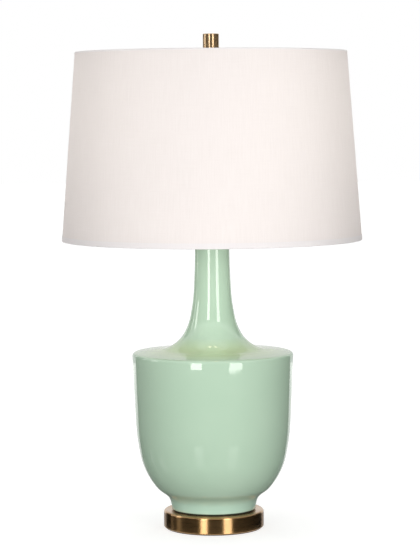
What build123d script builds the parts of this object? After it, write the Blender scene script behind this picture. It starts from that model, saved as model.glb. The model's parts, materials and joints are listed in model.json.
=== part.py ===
from build123d import *
import os
from math import acos, cos, hypot, radians, sin, tan

# Table lamp: a glazed ceramic bottle with a long neck on a spun brass base, a lamp
# holder with a turn switch, a wire harp and a linen drum shade held by a brass finial.
# Millimetres, +Z up. Origin: centre of the base, on the table. The front is -Y.

# ---------------------------------------------------------------- fits
FACE_GAP = 0.3        # between pieces that move past each other
GLUE_GAP = 0.05       # between layers that are glued together
RUN_FIT = 0.1         # radial clearance of a shaft that turns in its hole
PIPE_FIT = 0.3        # radial clearance round the centre rod
OVERCUT = 1.0         # how far a cut runs past the face that it leaves

# ---------------------------------------------------------------- base
BASE_MARGIN = 10.7        # base outside the body's foot
BASE_HEIGHT = 24.5
BASE_WALL = 1.2
BASE_TOP_EDGE = 3.0       # radius of the spun top edge
BASE_BOTTOM_EDGE = 1.0    # bevel where the wall turns in underneath
BASE_FLANGE = 7.5         # width of the turned-in bottom flange
FELT_THICKNESS = 1.5
FELT_INSET = 2.5
WEIGHT_GAP = 6.0          # between the shell wall and the cast weight
WEIGHT_Z = 8.8            # underside of the weight, above the nut's room
WEIGHT_DRAFT = 2.0
WEIGHT_RECESS_RADIUS = 22.0
WEIGHT_RECESS_DEPTH = 4.0
CORD_ROOM = 1.0           # beside the cord in the weight's channel
CORD_CHANNEL_DEPTH = 8.0
WASHER_RADIUS = 16.0
WASHER_THICKNESS = 1.5
LOCK_WASHER_THICKNESS = 1.0
NUT_WALL = 3.5
NUT_HEIGHT = 5.0
NUT_CHAMFER = 1.5
ROD_TAIL = 2.0            # rod that shows below the nut

# ---------------------------------------------------------------- cord gland
GLAND_HEIGHT = 12.0       # above the table
GLAND_BORE = 3.5
GLAND_WALL = 1.4
GLAND_LIP = 2.1           # flange outside the hole in the shell
GLAND_FLANGE_THICKNESS = 2.0
GLAND_SNAP = 0.9          # barb outside the hole in the shell
GLAND_TAIL = 4.3          # length inside the wall

# ---------------------------------------------------------------- ceramic body
GASKET_THICKNESS = 1.3
GASKET_INSET = 2.0
GASKET_WIDTH = 9.0
BODY_HEIGHT = 378.9
BODY_RADIUS = 109.5
FOOT_RADIUS = 57.5
FOOT_BAND = 4.8           # straight band above the foot
FOOT_EDGE = 0.8
FOOT_RING = 10.0          # width of the ring that the body stands on
FOOT_RECESS_DEPTH = 5.0
RIM_HEIGHT = 210.0        # from the foot to the centre of the shoulder edge
RIM_EDGE = 4.5            # radius of the shoulder edge
SHOULDER_SLOPE = 5.5      # degrees, where the shoulder leaves its edge
NECK_RADIUS = 23.2
NECK_LIP = 1.5
CLAY_WALL = 6.5
CLAY_FLOOR = 8.0
CLAY_FLOOR_CORNER = 6.0
CLAY_HOLE_ROOM = 2.0      # between the rod and the floor's hole
# Belly between the foot band (0, 0) and the shoulder edge (1, 1): share of the
# growth in radius, share of the height.
BELLY = [(0.048, 0.042), (0.393, 0.125), (0.608, 0.204), (0.747, 0.283), (0.855, 0.405), (0.955, 0.726)]
# Shoulder and neck between the neck's top (0, 1) and the shoulder edge (1, 0).
SHOULDER = [(0.7205, 0.014), (0.5245, 0.027), (0.392, 0.057), (0.2328, 0.128), (0.126, 0.228),
            (0.059, 0.373), (0.011, 0.676)]

# ---------------------------------------------------------------- neck fittings
ROD_RADIUS = 5.0
ROD_WALL = 1.5
CAP_RISE = 4.0            # from the neck's top to the seat of the spacer
CAP_SHEET = 1.0
CAP_OVERHANG = 1.8
CAP_SKIRT = 1.5
CAP_CROWN = 13.0          # radius of the flat crown
CHECK_RING_GAP = 0.5
CHECK_RING_DEPTH = 6.0
SPACER_RADIUS = 8.0
SPACER_HEIGHT = 6.0
SPACER_EDGE = 1.0

# ---------------------------------------------------------------- harp
SADDLE_SHEET = 1.5
SADDLE_WIDTH = 8.0
SADDLE_BOSS = 11.0
SADDLE_BEND = 5.5
SADDLE_SHOULDER = 9.5     # from the saddle's top face to the seat of the sleeve
TAB_WIDTH = 3.4
TAB_HEIGHT = 10.0
HARP_LEG = 30.0           # from the axis to each leg
HARP_HIP = 57.0           # from the axis to the widest stretch
HARP_CROWN = 34.0         # from the axis to the corner under the top
HARP_HEIGHT = 214.3       # from the saddle to the top of the eye
HARP_LEG_LENGTH = 60.5    # heights of the bends above the saddle
HARP_HIP_LOW = 98.5
HARP_HIP_HIGH = 152.5
HARP_WIRE = 1.6
BEND_SHARE = 0.45         # part of a run that a bend takes
EYE_RADIUS = 7.0
EYE_MARGIN = 0.1          # eye above and below the wire
STUD_RADIUS = 3.1
STUD_HEAD_LEDGE = 1.5
STUD_HEAD = 1.2
STUD_HEIGHT = 12.8        # above the eye
SLEEVE_LENGTH = 14.0
SLEEVE_FIT = 0.13         # between the sleeve and the tabs' corners
SLEEVE_WALL = 0.6

# ---------------------------------------------------------------- lamp holder
HOLDER_HUB_WALL = 1.5
HOLDER_HUB_HEIGHT = 8.0
ROD_GRIP = 7.0            # rod inside the hub
HOLDER_BELL_HEIGHT = 13.5  # from the hub's seat to the skirt's lower corner
HOLDER_SKIRT = 9.0
HOLDER_CORNER = 5.0
HOLDER_FOOT_CORNER = 1.5
HOLDER_WALL = 0.8
SHELL_ROOM = 2.6          # between the screw shell and the shell's outside
SHELL_WALL = 0.5
SHELL_OVERLAP = 5.0
SHELL_HEIGHT = 49.0
SHELL_BEAD = 0.5
SHELL_LIP = 1.0           # turned in over the liner's end
LINER_GAP = 0.3
LINER_WALL = 0.7
SWITCH_BODY_HEIGHT = 22.0
SWITCH_BODY_EDGE = 1.5
SWITCH_BODY_LIFT = 4.0    # above the lower edge of the shell
SWITCH_FLAT_DEPTH = 3.6   # of the flats that hold the terminals
SWITCH_FLAT_MARGIN = 3.0
TERMINAL_RADIUS = 3.0
TERMINAL_HEIGHT = 2.2
TERMINAL_SLOT = 0.8
SCREW_SHELL_WALL = 0.5
SCREW_SHELL_HEIGHT = 23.0
SCREW_SHELL_HOLE = 7.0
TONGUE_RADIUS = 4.0
TONGUE_HEIGHT = 1.2
SET_SCREW_RADIUS = 1.5
SET_SCREW_LENGTH = 3.4

# ---------------------------------------------------------------- turn switch
STEM_RADIUS = 2.0
STEM_DEPTH = 6.0          # inside the switch body
STEM_HEIGHT = 11.0        # above the switch body's floor
STEM_GRIP = 12.5          # inside the knob
STEM_SLOT = 3.0
KNOB_RADIUS = 6.0
KNOB_GAP = 4.1            # between the shell and the knob
KNOB_LENGTH = 15.0
KNOB_FLUTES = 12
KNOB_FLUTE_RADIUS = 0.9
KNOB_EDGE = 1.0

# ---------------------------------------------------------------- bulb
BULB_RADIUS = 30.0
BULB_LENGTH = 111.5
BULB_NECK_GAP = 0.35      # between the glass neck and the screw cap
BULB_GLASS = 1.0
BULB_CAP_RADIUS = 13.0
BULB_CAP_WALL = 0.35
BULB_CAP_LIP = 5.0        # turned in over the insulator
BULB_CAP_LENGTH = 21.0
BULB_TUCK = 6.0           # glass inside the screw cap
BULB_WAIST = 35.0         # degrees under the equator where the ball ends
BULB_TAPER = 30.0         # radius between the taper and the neck
BULB_CONTACT_RADIUS = 4.5
BULB_CONTACT_HEIGHT = 1.5
BULB_INSULATOR_HEIGHT = 3.0

# ---------------------------------------------------------------- shade
SHADE_BOTTOM_RADIUS = 203.2
SHADE_TOP_RADIUS = 183.3
SHADE_HEIGHT = 253.7
SHADE_DROP = 15.5         # from the shade's top edge down to the spider's washer
FABRIC = 0.6
LINER = 0.6
TRIM = 0.4
HEM_OUTSIDE = 5.0
HEM_INSIDE = 8.0
HEM_CORNER = 0.55         # share of the ring wire's radius that the hem's corners cut off
TOP_HEM_OUTSIDE = 2.2
TOP_HEM_INSIDE = 2.6
RING_WIRE = 1.5
SPIDER_ARMS = 3
SPIDER_BEND_OUTER = 38.0  # where an arm turns down
SPIDER_BEND_INNER = 20.0  # where it turns level again
SPIDER_BEND = 10.0        # radius of those bends
SPIDER_SAG = 3.0          # fall of an arm between the ring and its bend
SPIDER_NOTCH = 0.4
SPIDER_WASHER_RADIUS = 13.0
SPIDER_WASHER_FIT = 0.5   # between the stud and the washer
SPIDER_WASHER = 1.5

# ---------------------------------------------------------------- finial
FINIAL_RADIUS = 10.9
FINIAL_HEIGHT = 37.5
FINIAL_DRUM = 26.7        # height of the wide drum at the top
FINIAL_STEM = 6.5
FINIAL_FOOT = 8.5
FINIAL_FOOT_HEIGHT = 2.5
FINIAL_EDGE = 0.8
FINIAL_BORE_DEPTH = 14.0

# ---------------------------------------------------------------- sizes that follow from a fit
BASE_RADIUS = FOOT_RADIUS + BASE_MARGIN
FOOT_RECESS_RADIUS = FOOT_RADIUS - FOOT_RING
GASKET_OUTER = FOOT_RADIUS - GASKET_INSET
GASKET_INNER = GASKET_OUTER - GASKET_WIDTH
PIPE_HOLE = ROD_RADIUS + PIPE_FIT
ROD_BORE = ROD_RADIUS - ROD_WALL
CLAY_HOLE = ROD_RADIUS + CLAY_HOLE_ROOM
LOCK_WASHER_RADIUS = ROD_RADIUS + NUT_WALL
NUT_FLATS = 2 * (ROD_RADIUS + NUT_WALL)
HOLDER_HUB_RADIUS = ROD_RADIUS + HOLDER_HUB_WALL
GLAND_NECK = GLAND_BORE + GLAND_WALL
GLAND_FLANGE = GLAND_NECK + GLAND_LIP
GLAND_BARB = GLAND_NECK + GLAND_SNAP
CORD_CHANNEL_WIDTH = 2 * (GLAND_BORE + CORD_ROOM)
EYE_THICKNESS = 2 * (HARP_WIRE + EYE_MARGIN)
STUD_HEAD_RADIUS = STUD_RADIUS + STUD_HEAD_LEDGE
SLEEVE_BORE = max(HARP_WIRE, hypot(SADDLE_SHEET, TAB_WIDTH / 2)) + SLEEVE_FIT
SPIDER_WASHER_HOLE = STUD_RADIUS + SPIDER_WASHER_FIT
BULB_NECK = BULB_CAP_RADIUS - BULB_CAP_WALL - BULB_NECK_GAP
SCREW_SHELL_RADIUS = BULB_CAP_RADIUS + FACE_GAP + SCREW_SHELL_WALL
SHELL_RADIUS = SCREW_SHELL_RADIUS + SHELL_ROOM
LINER_RADIUS = SHELL_RADIUS - SHELL_WALL - LINER_GAP
SWITCH_BODY_RADIUS = LINER_RADIUS - LINER_WALL - FACE_GAP
SWITCH_FLAT = SWITCH_BODY_RADIUS - SWITCH_FLAT_DEPTH
KNOB_START = SHELL_RADIUS + KNOB_GAP
STEM_REACH = KNOB_START + STEM_GRIP

# ---------------------------------------------------------------- levels along the axis
BODY_Z = BASE_HEIGHT + GASKET_THICKNESS
NECK_Z = BODY_Z + BODY_HEIGHT
CAP_Z = NECK_Z + CAP_RISE
SADDLE_Z = CAP_Z + SPACER_HEIGHT
HOLDER_Z = SADDLE_Z + SADDLE_SHEET
SLEEVE_Z = HOLDER_Z + SADDLE_SHOULDER
SHELL_Z = HOLDER_Z + HOLDER_BELL_HEIGHT + HOLDER_SKIRT - SHELL_OVERLAP
SWITCH_Z = SHELL_Z + SWITCH_BODY_LIFT
CONTACT_Z = SWITCH_Z + SWITCH_BODY_HEIGHT
BULB_Z = CONTACT_Z + TONGUE_HEIGHT + FACE_GAP
EYE_Z = HOLDER_Z + HARP_HEIGHT
SPIDER_Z = EYE_Z + FACE_GAP
FINIAL_Z = SPIDER_Z + SPIDER_WASHER + FACE_GAP
SHADE_TOP_Z = SPIDER_Z + SHADE_DROP
SHADE_BOTTOM_Z = SHADE_TOP_Z - SHADE_HEIGHT
WEIGHT_TOP_Z = BASE_HEIGHT - BASE_WALL
WASHER_Z = WEIGHT_Z + WEIGHT_RECESS_DEPTH - WASHER_THICKNESS
LOCK_WASHER_Z = WASHER_Z - LOCK_WASHER_THICKNESS
NUT_Z = LOCK_WASHER_Z - NUT_HEIGHT


# ---------------------------------------------------------------- helpers
def face_of(*corners):
    """Flat face from (x, y) or (x, y, corner radius) corners."""
    points = [corner[:2] for corner in corners]
    radii = [corner[2] if len(corner) > 2 else 0 for corner in corners]
    if any(radii):
        return make_face(FilletPolyline(*points, radius=radii, close=True))
    return make_face(Polyline(*points, close=True))


def bevelled(*corners):
    """Corners for face_of where each (x, y, size) corner is cut straight at that distance."""
    points = []
    for before, corner, after in zip(corners[-1:] + corners[:-1], corners, corners[1:] + corners[:1]):
        here = Vector(*corner[:2])
        if len(corner) == 2:
            points.append((here.X, here.Y))
            continue
        for neighbour in (before, after):
            cut = here + (Vector(*neighbour[:2]) - here).normalized() * corner[2]
            points.append((cut.X, cut.Y))
    return points


def smooth(points, tangents):
    """Spline through points with the given unit directions at its two ends."""
    return Spline(*points, tangents=tangents, tangent_scalars=[1, 1])


def spun(face):
    """Turn a face drawn as (radius, height) about the lamp's axis."""
    return revolve(Plane.XZ * face, Axis.Z)


def turned(*corners):
    """Solid of revolution from (radius, height) corners."""
    return spun(face_of(*corners))


def tube(inner, outer, low, high):
    """Plain ring or, with no inner radius, a disc, between two heights."""
    solid = Pos(0, 0, (low + high) / 2) * Cylinder(outer, high - low)
    if inner:
        solid -= Pos(0, 0, (low + high) / 2) * Cylinder(inner, high - low + 2 * OVERCUT)
    return solid


def bar_y(radius, start, end, height):
    """Round bar along Y at a height on the lamp's axis."""
    return Pos(0, (start + end) / 2, height) * Rot(90, 0, 0) * Cylinder(radius, abs(end - start))


def block(low, high):
    """Box between two corners."""
    size = [b - a for a, b in zip(low, high)]
    return Pos(*[(a + b) / 2 for a, b in zip(low, high)]) * Box(*size)


def bend_radii(points):
    """Largest tangent bends that take BEND_SHARE of the shorter run at each corner."""
    radii = []
    for before, here, after in zip(points, points[1:], points[2:]):
        run_in = (here[0] - before[0], here[1] - before[1])
        run_out = (after[0] - here[0], after[1] - here[1])
        lengths = hypot(*run_in), hypot(*run_out)
        turn = acos((run_in[0] * run_out[0] + run_in[1] * run_out[1]) / (lengths[0] * lengths[1]))
        radii.append(BEND_SHARE * min(lengths) / tan(turn / 2))
    return radii


# ---------------------------------------------------------------- base
def base_parts():
    """Weighted base: spun shell, felt, cast weight and the nut that clamps the rod."""
    inner = BASE_RADIUS - BASE_WALL
    flange = BASE_RADIUS - BASE_FLANGE
    flange_top = FELT_THICKNESS + BASE_WALL
    edge = BASE_TOP_EDGE - BASE_WALL
    shell = turned(
        (BASE_RADIUS - BASE_BOTTOM_EDGE, FELT_THICKNESS),
        (BASE_RADIUS, FELT_THICKNESS + BASE_BOTTOM_EDGE),
        (BASE_RADIUS, BASE_HEIGHT, BASE_TOP_EDGE),
        (PIPE_HOLE, BASE_HEIGHT),
        (PIPE_HOLE, WEIGHT_TOP_Z),
        (inner - edge, WEIGHT_TOP_Z),
        (inner, WEIGHT_TOP_Z - edge),
        (inner, flange_top),
        (flange, flange_top),
        (flange, FELT_THICKNESS),
    )
    shell -= bar_y(GLAND_NECK + RUN_FIT, inner - BASE_WALL, BASE_RADIUS + BASE_WALL, GLAND_HEIGHT)

    weight_radius = inner - WEIGHT_GAP
    recess_top = WEIGHT_Z + WEIGHT_RECESS_DEPTH
    weight = turned(*bevelled(
        (PIPE_HOLE, WEIGHT_TOP_Z),
        (weight_radius, WEIGHT_TOP_Z, WEIGHT_DRAFT),
        (weight_radius - WEIGHT_DRAFT, WEIGHT_Z, WEIGHT_DRAFT),
        (WEIGHT_RECESS_RADIUS, WEIGHT_Z),
        (WEIGHT_RECESS_RADIUS, recess_top),
        (PIPE_HOLE, recess_top),
    ))
    weight -= block(
        (-CORD_CHANNEL_WIDTH / 2, WEIGHT_RECESS_RADIUS - OVERCUT, WEIGHT_Z - OVERCUT),
        (CORD_CHANNEL_WIDTH / 2, weight_radius + OVERCUT, WEIGHT_Z + CORD_CHANNEL_DEPTH),
    )

    nut = extrude(Pos(0, 0, NUT_Z) * RegularPolygon(NUT_FLATS / 2, 6, major_radius=False), NUT_HEIGHT)
    nut = nut & turned(
        (0, NUT_Z),
        (NUT_FLATS / 2, NUT_Z),
        (NUT_FLATS / 2 + NUT_CHAMFER, NUT_Z + NUT_CHAMFER / 2),
        (NUT_FLATS / 2 + NUT_CHAMFER, NUT_Z + NUT_HEIGHT),
        (0, NUT_Z + NUT_HEIGHT),
    )
    nut -= tube(0, ROD_RADIUS, NUT_Z - OVERCUT, NUT_Z + NUT_HEIGHT + OVERCUT)

    return {
        "felt_pad": tube(0, BASE_RADIUS - FELT_INSET, 0, FELT_THICKNESS),
        "base_shell": shell,
        "base_weight": weight,
        "bottom_washer": tube(PIPE_HOLE, WASHER_RADIUS, WASHER_Z, WASHER_Z + WASHER_THICKNESS),
        "lock_washer": tube(PIPE_HOLE, LOCK_WASHER_RADIUS, LOCK_WASHER_Z, WASHER_Z),
        "bottom_nut": nut,
        "cord_bushing": cord_bushing(inner),
        "foot_gasket": tube(GASKET_INNER, GASKET_OUTER, BASE_HEIGHT, BODY_Z),
    }


def cord_bushing(shell_inner):
    """Snap-in gland at the back: its flange and barb follow the round shell wall."""
    outside = BASE_RADIUS + GLAND_FLANGE_THICKNESS
    inside = shell_inner - GLAND_TAIL
    wall_outer = tube(0, BASE_RADIUS, 0, BASE_HEIGHT)
    wall_inner = tube(0, shell_inner, 0, BASE_HEIGHT)
    flange = bar_y(GLAND_FLANGE, BASE_RADIUS - OVERCUT, outside, GLAND_HEIGHT)
    flange = fillet(flange.faces().sort_by(Axis.Y)[-1].edges(), GLAND_FLANGE_THICKNESS / 2) - wall_outer
    barb = bar_y(GLAND_BARB, inside, shell_inner, GLAND_HEIGHT)
    barb = chamfer(barb.faces().sort_by(Axis.Y)[0].edges(), GLAND_BARB - GLAND_NECK) & wall_inner
    body = bar_y(GLAND_NECK, inside, BASE_RADIUS + GLAND_FLANGE_THICKNESS / 2, GLAND_HEIGHT) + flange + barb
    return body - bar_y(GLAND_BORE, inside - OVERCUT, outside + OVERCUT, GLAND_HEIGHT)


# ---------------------------------------------------------------- ceramic body
def body_curves():
    """Outer belly and shoulder curves as (radius, height), from the foot band to the neck's top."""
    foot_top = BODY_Z + FOOT_BAND
    rim = (BODY_RADIUS - RIM_EDGE, BODY_Z + RIM_HEIGHT)
    slope = radians(SHOULDER_SLOPE)
    rim_top = (rim[0] + RIM_EDGE * sin(slope), rim[1] + RIM_EDGE * cos(slope))
    belly_points = [(FOOT_RADIUS, foot_top)]
    for wide, high in BELLY:
        belly_points.append((FOOT_RADIUS + (BODY_RADIUS - FOOT_RADIUS) * wide, foot_top + (rim[1] - foot_top) * high))
    belly_points.append((BODY_RADIUS, rim[1]))
    belly = smooth(belly_points, [(0, 1), (0, 1)])

    neck_end = NECK_Z - NECK_LIP
    shoulder_points = [rim_top]
    for wide, high in SHOULDER:
        shoulder_points.append(
            (NECK_RADIUS + (rim_top[0] - NECK_RADIUS) * wide, rim_top[1] + (neck_end - rim_top[1]) * high)
        )
    shoulder_points.append((NECK_RADIUS, neck_end))
    shoulder = smooth(shoulder_points, [(-cos(slope), sin(slope)), (0, 1)])
    edge = RadiusArc((BODY_RADIUS, rim[1]), rim_top, -RIM_EDGE)
    return belly, edge, shoulder


def inward(curve, steps, first=0.0, last=1.0):
    """Points of a curve moved one wall thickness to the inside."""
    points = []
    for step in range(steps + 1):
        t = first + (last - first) * step / steps
        along = curve % t
        points.append(curve @ t + Vector(-along.Y, along.X) * CLAY_WALL)
    return points


def ceramic_body():
    """Slip-cast bottle of one wall thickness, with a foot ring and a floor for the rod."""
    belly, edge, shoulder = body_curves()
    lip = NECK_LIP
    outline = [
        Line((0, BODY_Z), (FOOT_RADIUS - FOOT_EDGE, BODY_Z)),
        Line((FOOT_RADIUS - FOOT_EDGE, BODY_Z), (FOOT_RADIUS, BODY_Z + FOOT_EDGE)),
        Line((FOOT_RADIUS, BODY_Z + FOOT_EDGE), (FOOT_RADIUS, BODY_Z + FOOT_BAND)),
        belly,
        edge,
        shoulder,
        RadiusArc((NECK_RADIUS, NECK_Z - lip), (NECK_RADIUS - lip, NECK_Z), -lip),
        Line((NECK_RADIUS - lip, NECK_Z), (0, NECK_Z)),
        Line((0, NECK_Z), (0, BODY_Z)),
    ]
    solid = spun(make_face(outline))

    floor = BODY_Z + FOOT_RECESS_DEPTH + CLAY_FLOOR
    mouth = NECK_Z + OVERCUT
    lower = Spline(*inward(belly, 14, last=0.93))
    upper = Spline(*inward(shoulder, 14, first=0.06))
    foot, top = lower @ 0, upper @ 1
    hollow = [
        Line((0, foot.Y), foot),
        lower,
        smooth([lower @ 1, upper @ 0], [lower % 1, upper % 0]),
        upper,
        Line(top, (top.X, mouth)),
        Line((top.X, mouth), (0, mouth)),
        Line((0, mouth), (0, foot.Y)),
    ]
    cavity = spun(make_face(hollow)) & tube(0, BODY_RADIUS, floor, mouth)
    cavity = fillet(cavity.faces().sort_by(Axis.Z)[0].edges(), CLAY_FLOOR_CORNER)
    solid -= cavity
    solid -= tube(0, FOOT_RECESS_RADIUS, BODY_Z - OVERCUT, BODY_Z + FOOT_RECESS_DEPTH)
    solid -= tube(0, CLAY_HOLE, BODY_Z, floor + OVERCUT)
    return solid


# ---------------------------------------------------------------- neck fittings
def neck_parts():
    """Rod and brass fittings that clamp the body between the base and the saddle."""
    cap_radius = NECK_RADIUS + CAP_OVERHANG
    cap = turned(*bevelled(
        (PIPE_HOLE, CAP_Z),
        (CAP_CROWN, CAP_Z, CAP_RISE / 2),
        (cap_radius, NECK_Z + CAP_SHEET, CAP_SHEET / 2),
        (cap_radius, NECK_Z - CAP_SKIRT),
        (cap_radius - CAP_SHEET, NECK_Z - CAP_SKIRT),
        (cap_radius - CAP_SHEET, NECK_Z),
        (CAP_CROWN, NECK_Z),
        (CAP_CROWN - CAP_RISE / 2, CAP_Z - CAP_SHEET),
        (PIPE_HOLE, CAP_Z - CAP_SHEET),
    ))
    ring_radius = NECK_RADIUS - CLAY_WALL - CHECK_RING_GAP
    boss = CAP_CROWN - CAP_RISE / 2 - CHECK_RING_GAP
    check_ring = tube(PIPE_HOLE, ring_radius, NECK_Z - CHECK_RING_DEPTH, NECK_Z)
    check_ring += tube(PIPE_HOLE, boss, NECK_Z, CAP_Z - CAP_SHEET)
    spacer = turned(*bevelled(
        (PIPE_HOLE, CAP_Z),
        (SPACER_RADIUS, CAP_Z, SPACER_EDGE),
        (SPACER_RADIUS, SADDLE_Z, SPACER_EDGE),
        (PIPE_HOLE, SADDLE_Z),
    ))
    return {
        "ceramic_body": ceramic_body(),
        "neck_cap": cap,
        "neck_check_ring": check_ring,
        "neck_spacer": spacer,
        "centre_rod": tube(ROD_BORE, ROD_RADIUS, NUT_Z - ROD_TAIL, HOLDER_Z + ROD_GRIP),
    }


# ---------------------------------------------------------------- harp
def harp_saddle():
    """Bent strip on the rod: a round boss, two arms and a narrow tab at each end."""
    inner = HARP_LEG
    outer = HARP_LEG + SADDLE_SHEET
    top = SLEEVE_Z + TAB_HEIGHT
    bend_out = SADDLE_BEND + SADDLE_SHEET
    strip = face_of(
        (outer, top),
        (outer, SADDLE_Z, bend_out),
        (-outer, SADDLE_Z, bend_out),
        (-outer, top),
        (-inner, top),
        (-inner, HOLDER_Z, SADDLE_BEND),
        (inner, HOLDER_Z, SADDLE_BEND),
        (inner, top),
    )
    bent = extrude(Plane.XZ * strip, SADDLE_BOSS, both=True)
    plan = Circle(SADDLE_BOSS) + Rectangle(2 * outer + 2 * OVERCUT, SADDLE_WIDTH)
    saddle = bent & extrude(Pos(0, 0, SADDLE_Z - OVERCUT) * plan, top - SADDLE_Z + 2 * OVERCUT)
    beyond = outer + OVERCUT
    for side in (-1, 1):
        near, far = sorted((side * TAB_WIDTH / 2, side * SADDLE_BOSS))
        saddle -= block((-beyond, near, SLEEVE_Z), (beyond, far, top + OVERCUT))
    return saddle - tube(0, PIPE_HOLE, SADDLE_Z - OVERCUT, HOLDER_Z + OVERCUT)


def harp_bow():
    """Wire bow with flat feet beside the saddle's tabs and a forged eye at the top."""
    wire_z = EYE_Z - EYE_THICKNESS / 2
    tab_top = SLEEVE_Z + TAB_HEIGHT
    half = [
        (HARP_LEG, tab_top + FACE_GAP),
        (HARP_LEG, HOLDER_Z + HARP_LEG_LENGTH),
        (HARP_HIP, HOLDER_Z + HARP_HIP_LOW),
        (HARP_HIP, HOLDER_Z + HARP_HIP_HIGH),
        (HARP_CROWN, wire_z),
    ]
    route = half + [(-x, z) for x, z in reversed(half)]
    path = Plane.XZ * FilletPolyline(*route, radius=bend_radii(route))
    section = Pos(HARP_LEG, 0, tab_top + FACE_GAP) * Circle(HARP_WIRE)
    bow = sweep(section, path=path)
    for side in (-1, 1):
        low, high = sorted((side * HARP_LEG, side * (HARP_LEG - SADDLE_SHEET)))
        bow += block((low, -TAB_WIDTH / 2, SLEEVE_Z), (high, TAB_WIDTH / 2, tab_top + 2 * HARP_WIRE))
    bow += tube(0, EYE_RADIUS, EYE_Z - EYE_THICKNESS, EYE_Z)
    return bow - tube(0, STUD_RADIUS, EYE_Z - EYE_THICKNESS - OVERCUT, EYE_Z + OVERCUT)


def harp_parts():
    """Saddle, bow, riveted stud and the two sleeves that lock the bow on the saddle."""
    eye_low = EYE_Z - EYE_THICKNESS
    stud = turned(*bevelled(
        (0, eye_low - STUD_HEAD),
        (STUD_HEAD_RADIUS, eye_low - STUD_HEAD, STUD_HEAD / 2),
        (STUD_HEAD_RADIUS, eye_low),
        (STUD_RADIUS, eye_low),
        (STUD_RADIUS, EYE_Z + STUD_HEIGHT, STUD_HEAD / 2),
        (0, EYE_Z + STUD_HEIGHT),
    ))
    parts = {"harp_saddle": harp_saddle(), "harp_bow": harp_bow(), "harp_stud": stud}
    low = SLEEVE_Z + FACE_GAP
    outer = SLEEVE_BORE + SLEEVE_WALL
    sleeve = turned(*bevelled(
        (SLEEVE_BORE, low),
        (outer, low),
        (outer, low + SLEEVE_LENGTH, SLEEVE_WALL / 2),
        (SLEEVE_BORE, low + SLEEVE_LENGTH),
    ))
    for name, side in (("left", -1), ("right", 1)):
        parts["harp_sleeve_" + name] = Pos(side * HARP_LEG, 0, 0) * sleeve
    return parts


# ---------------------------------------------------------------- lamp holder
def holder_parts():
    """Medium screw lamp holder: brass cap and shell, fibre liner, switch body, screw shell."""
    skirt = SHELL_RADIUS + GLUE_GAP
    bell_top = HOLDER_Z + HOLDER_BELL_HEIGHT
    hub_top = HOLDER_Z + HOLDER_HUB_HEIGHT
    cap = turned(
        (ROD_RADIUS, HOLDER_Z),
        (HOLDER_HUB_RADIUS, HOLDER_Z),
        (HOLDER_HUB_RADIUS, hub_top, HOLDER_FOOT_CORNER),
        (skirt + HOLDER_WALL, bell_top, HOLDER_CORNER + HOLDER_WALL),
        (skirt + HOLDER_WALL, bell_top + HOLDER_SKIRT),
        (skirt, bell_top + HOLDER_SKIRT),
        (skirt, bell_top + HOLDER_WALL, HOLDER_CORNER),
        (HOLDER_HUB_RADIUS, hub_top + HOLDER_WALL),
        (ROD_RADIUS, hub_top + HOLDER_WALL),
    )
    set_screw_z = HOLDER_Z + HOLDER_HUB_HEIGHT / 2
    set_screw_end = ROD_RADIUS + SET_SCREW_LENGTH
    cap -= bar_y(SET_SCREW_RADIUS, 0, HOLDER_HUB_RADIUS + OVERCUT, set_screw_z)
    set_screw = bar_y(SET_SCREW_RADIUS, ROD_RADIUS + FACE_GAP, set_screw_end, set_screw_z)

    stem_z = SWITCH_Z + STEM_HEIGHT
    shell_top = SHELL_Z + SHELL_HEIGHT
    inner = SHELL_RADIUS - SHELL_WALL
    bead = SHELL_RADIUS + SHELL_BEAD
    bead_z = HOLDER_Z + HOLDER_BELL_HEIGHT + HOLDER_SKIRT + FACE_GAP
    shell = turned(
        (SHELL_RADIUS, SHELL_Z),
        (SHELL_RADIUS, bead_z),
        (bead, bead_z + SHELL_BEAD),
        (bead, bead_z + 3 * SHELL_BEAD),
        (SHELL_RADIUS, bead_z + 4 * SHELL_BEAD),
        (SHELL_RADIUS, shell_top),
        (inner - SHELL_LIP, shell_top),
        (inner - SHELL_LIP, shell_top - SHELL_WALL),
        (inner, shell_top - SHELL_WALL),
        (inner, SHELL_Z),
    )
    stem_slot = bar_y(STEM_SLOT, -bead - OVERCUT, -SWITCH_BODY_RADIUS + OVERCUT, stem_z)
    liner = tube(LINER_RADIUS - LINER_WALL, LINER_RADIUS, SHELL_Z, shell_top - SHELL_WALL - FACE_GAP)

    return {
        "socket_cap": cap,
        "socket_set_screw": set_screw,
        "socket_shell": shell - stem_slot,
        "socket_liner": liner - stem_slot,
        **switch_parts(stem_z),
    }


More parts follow.
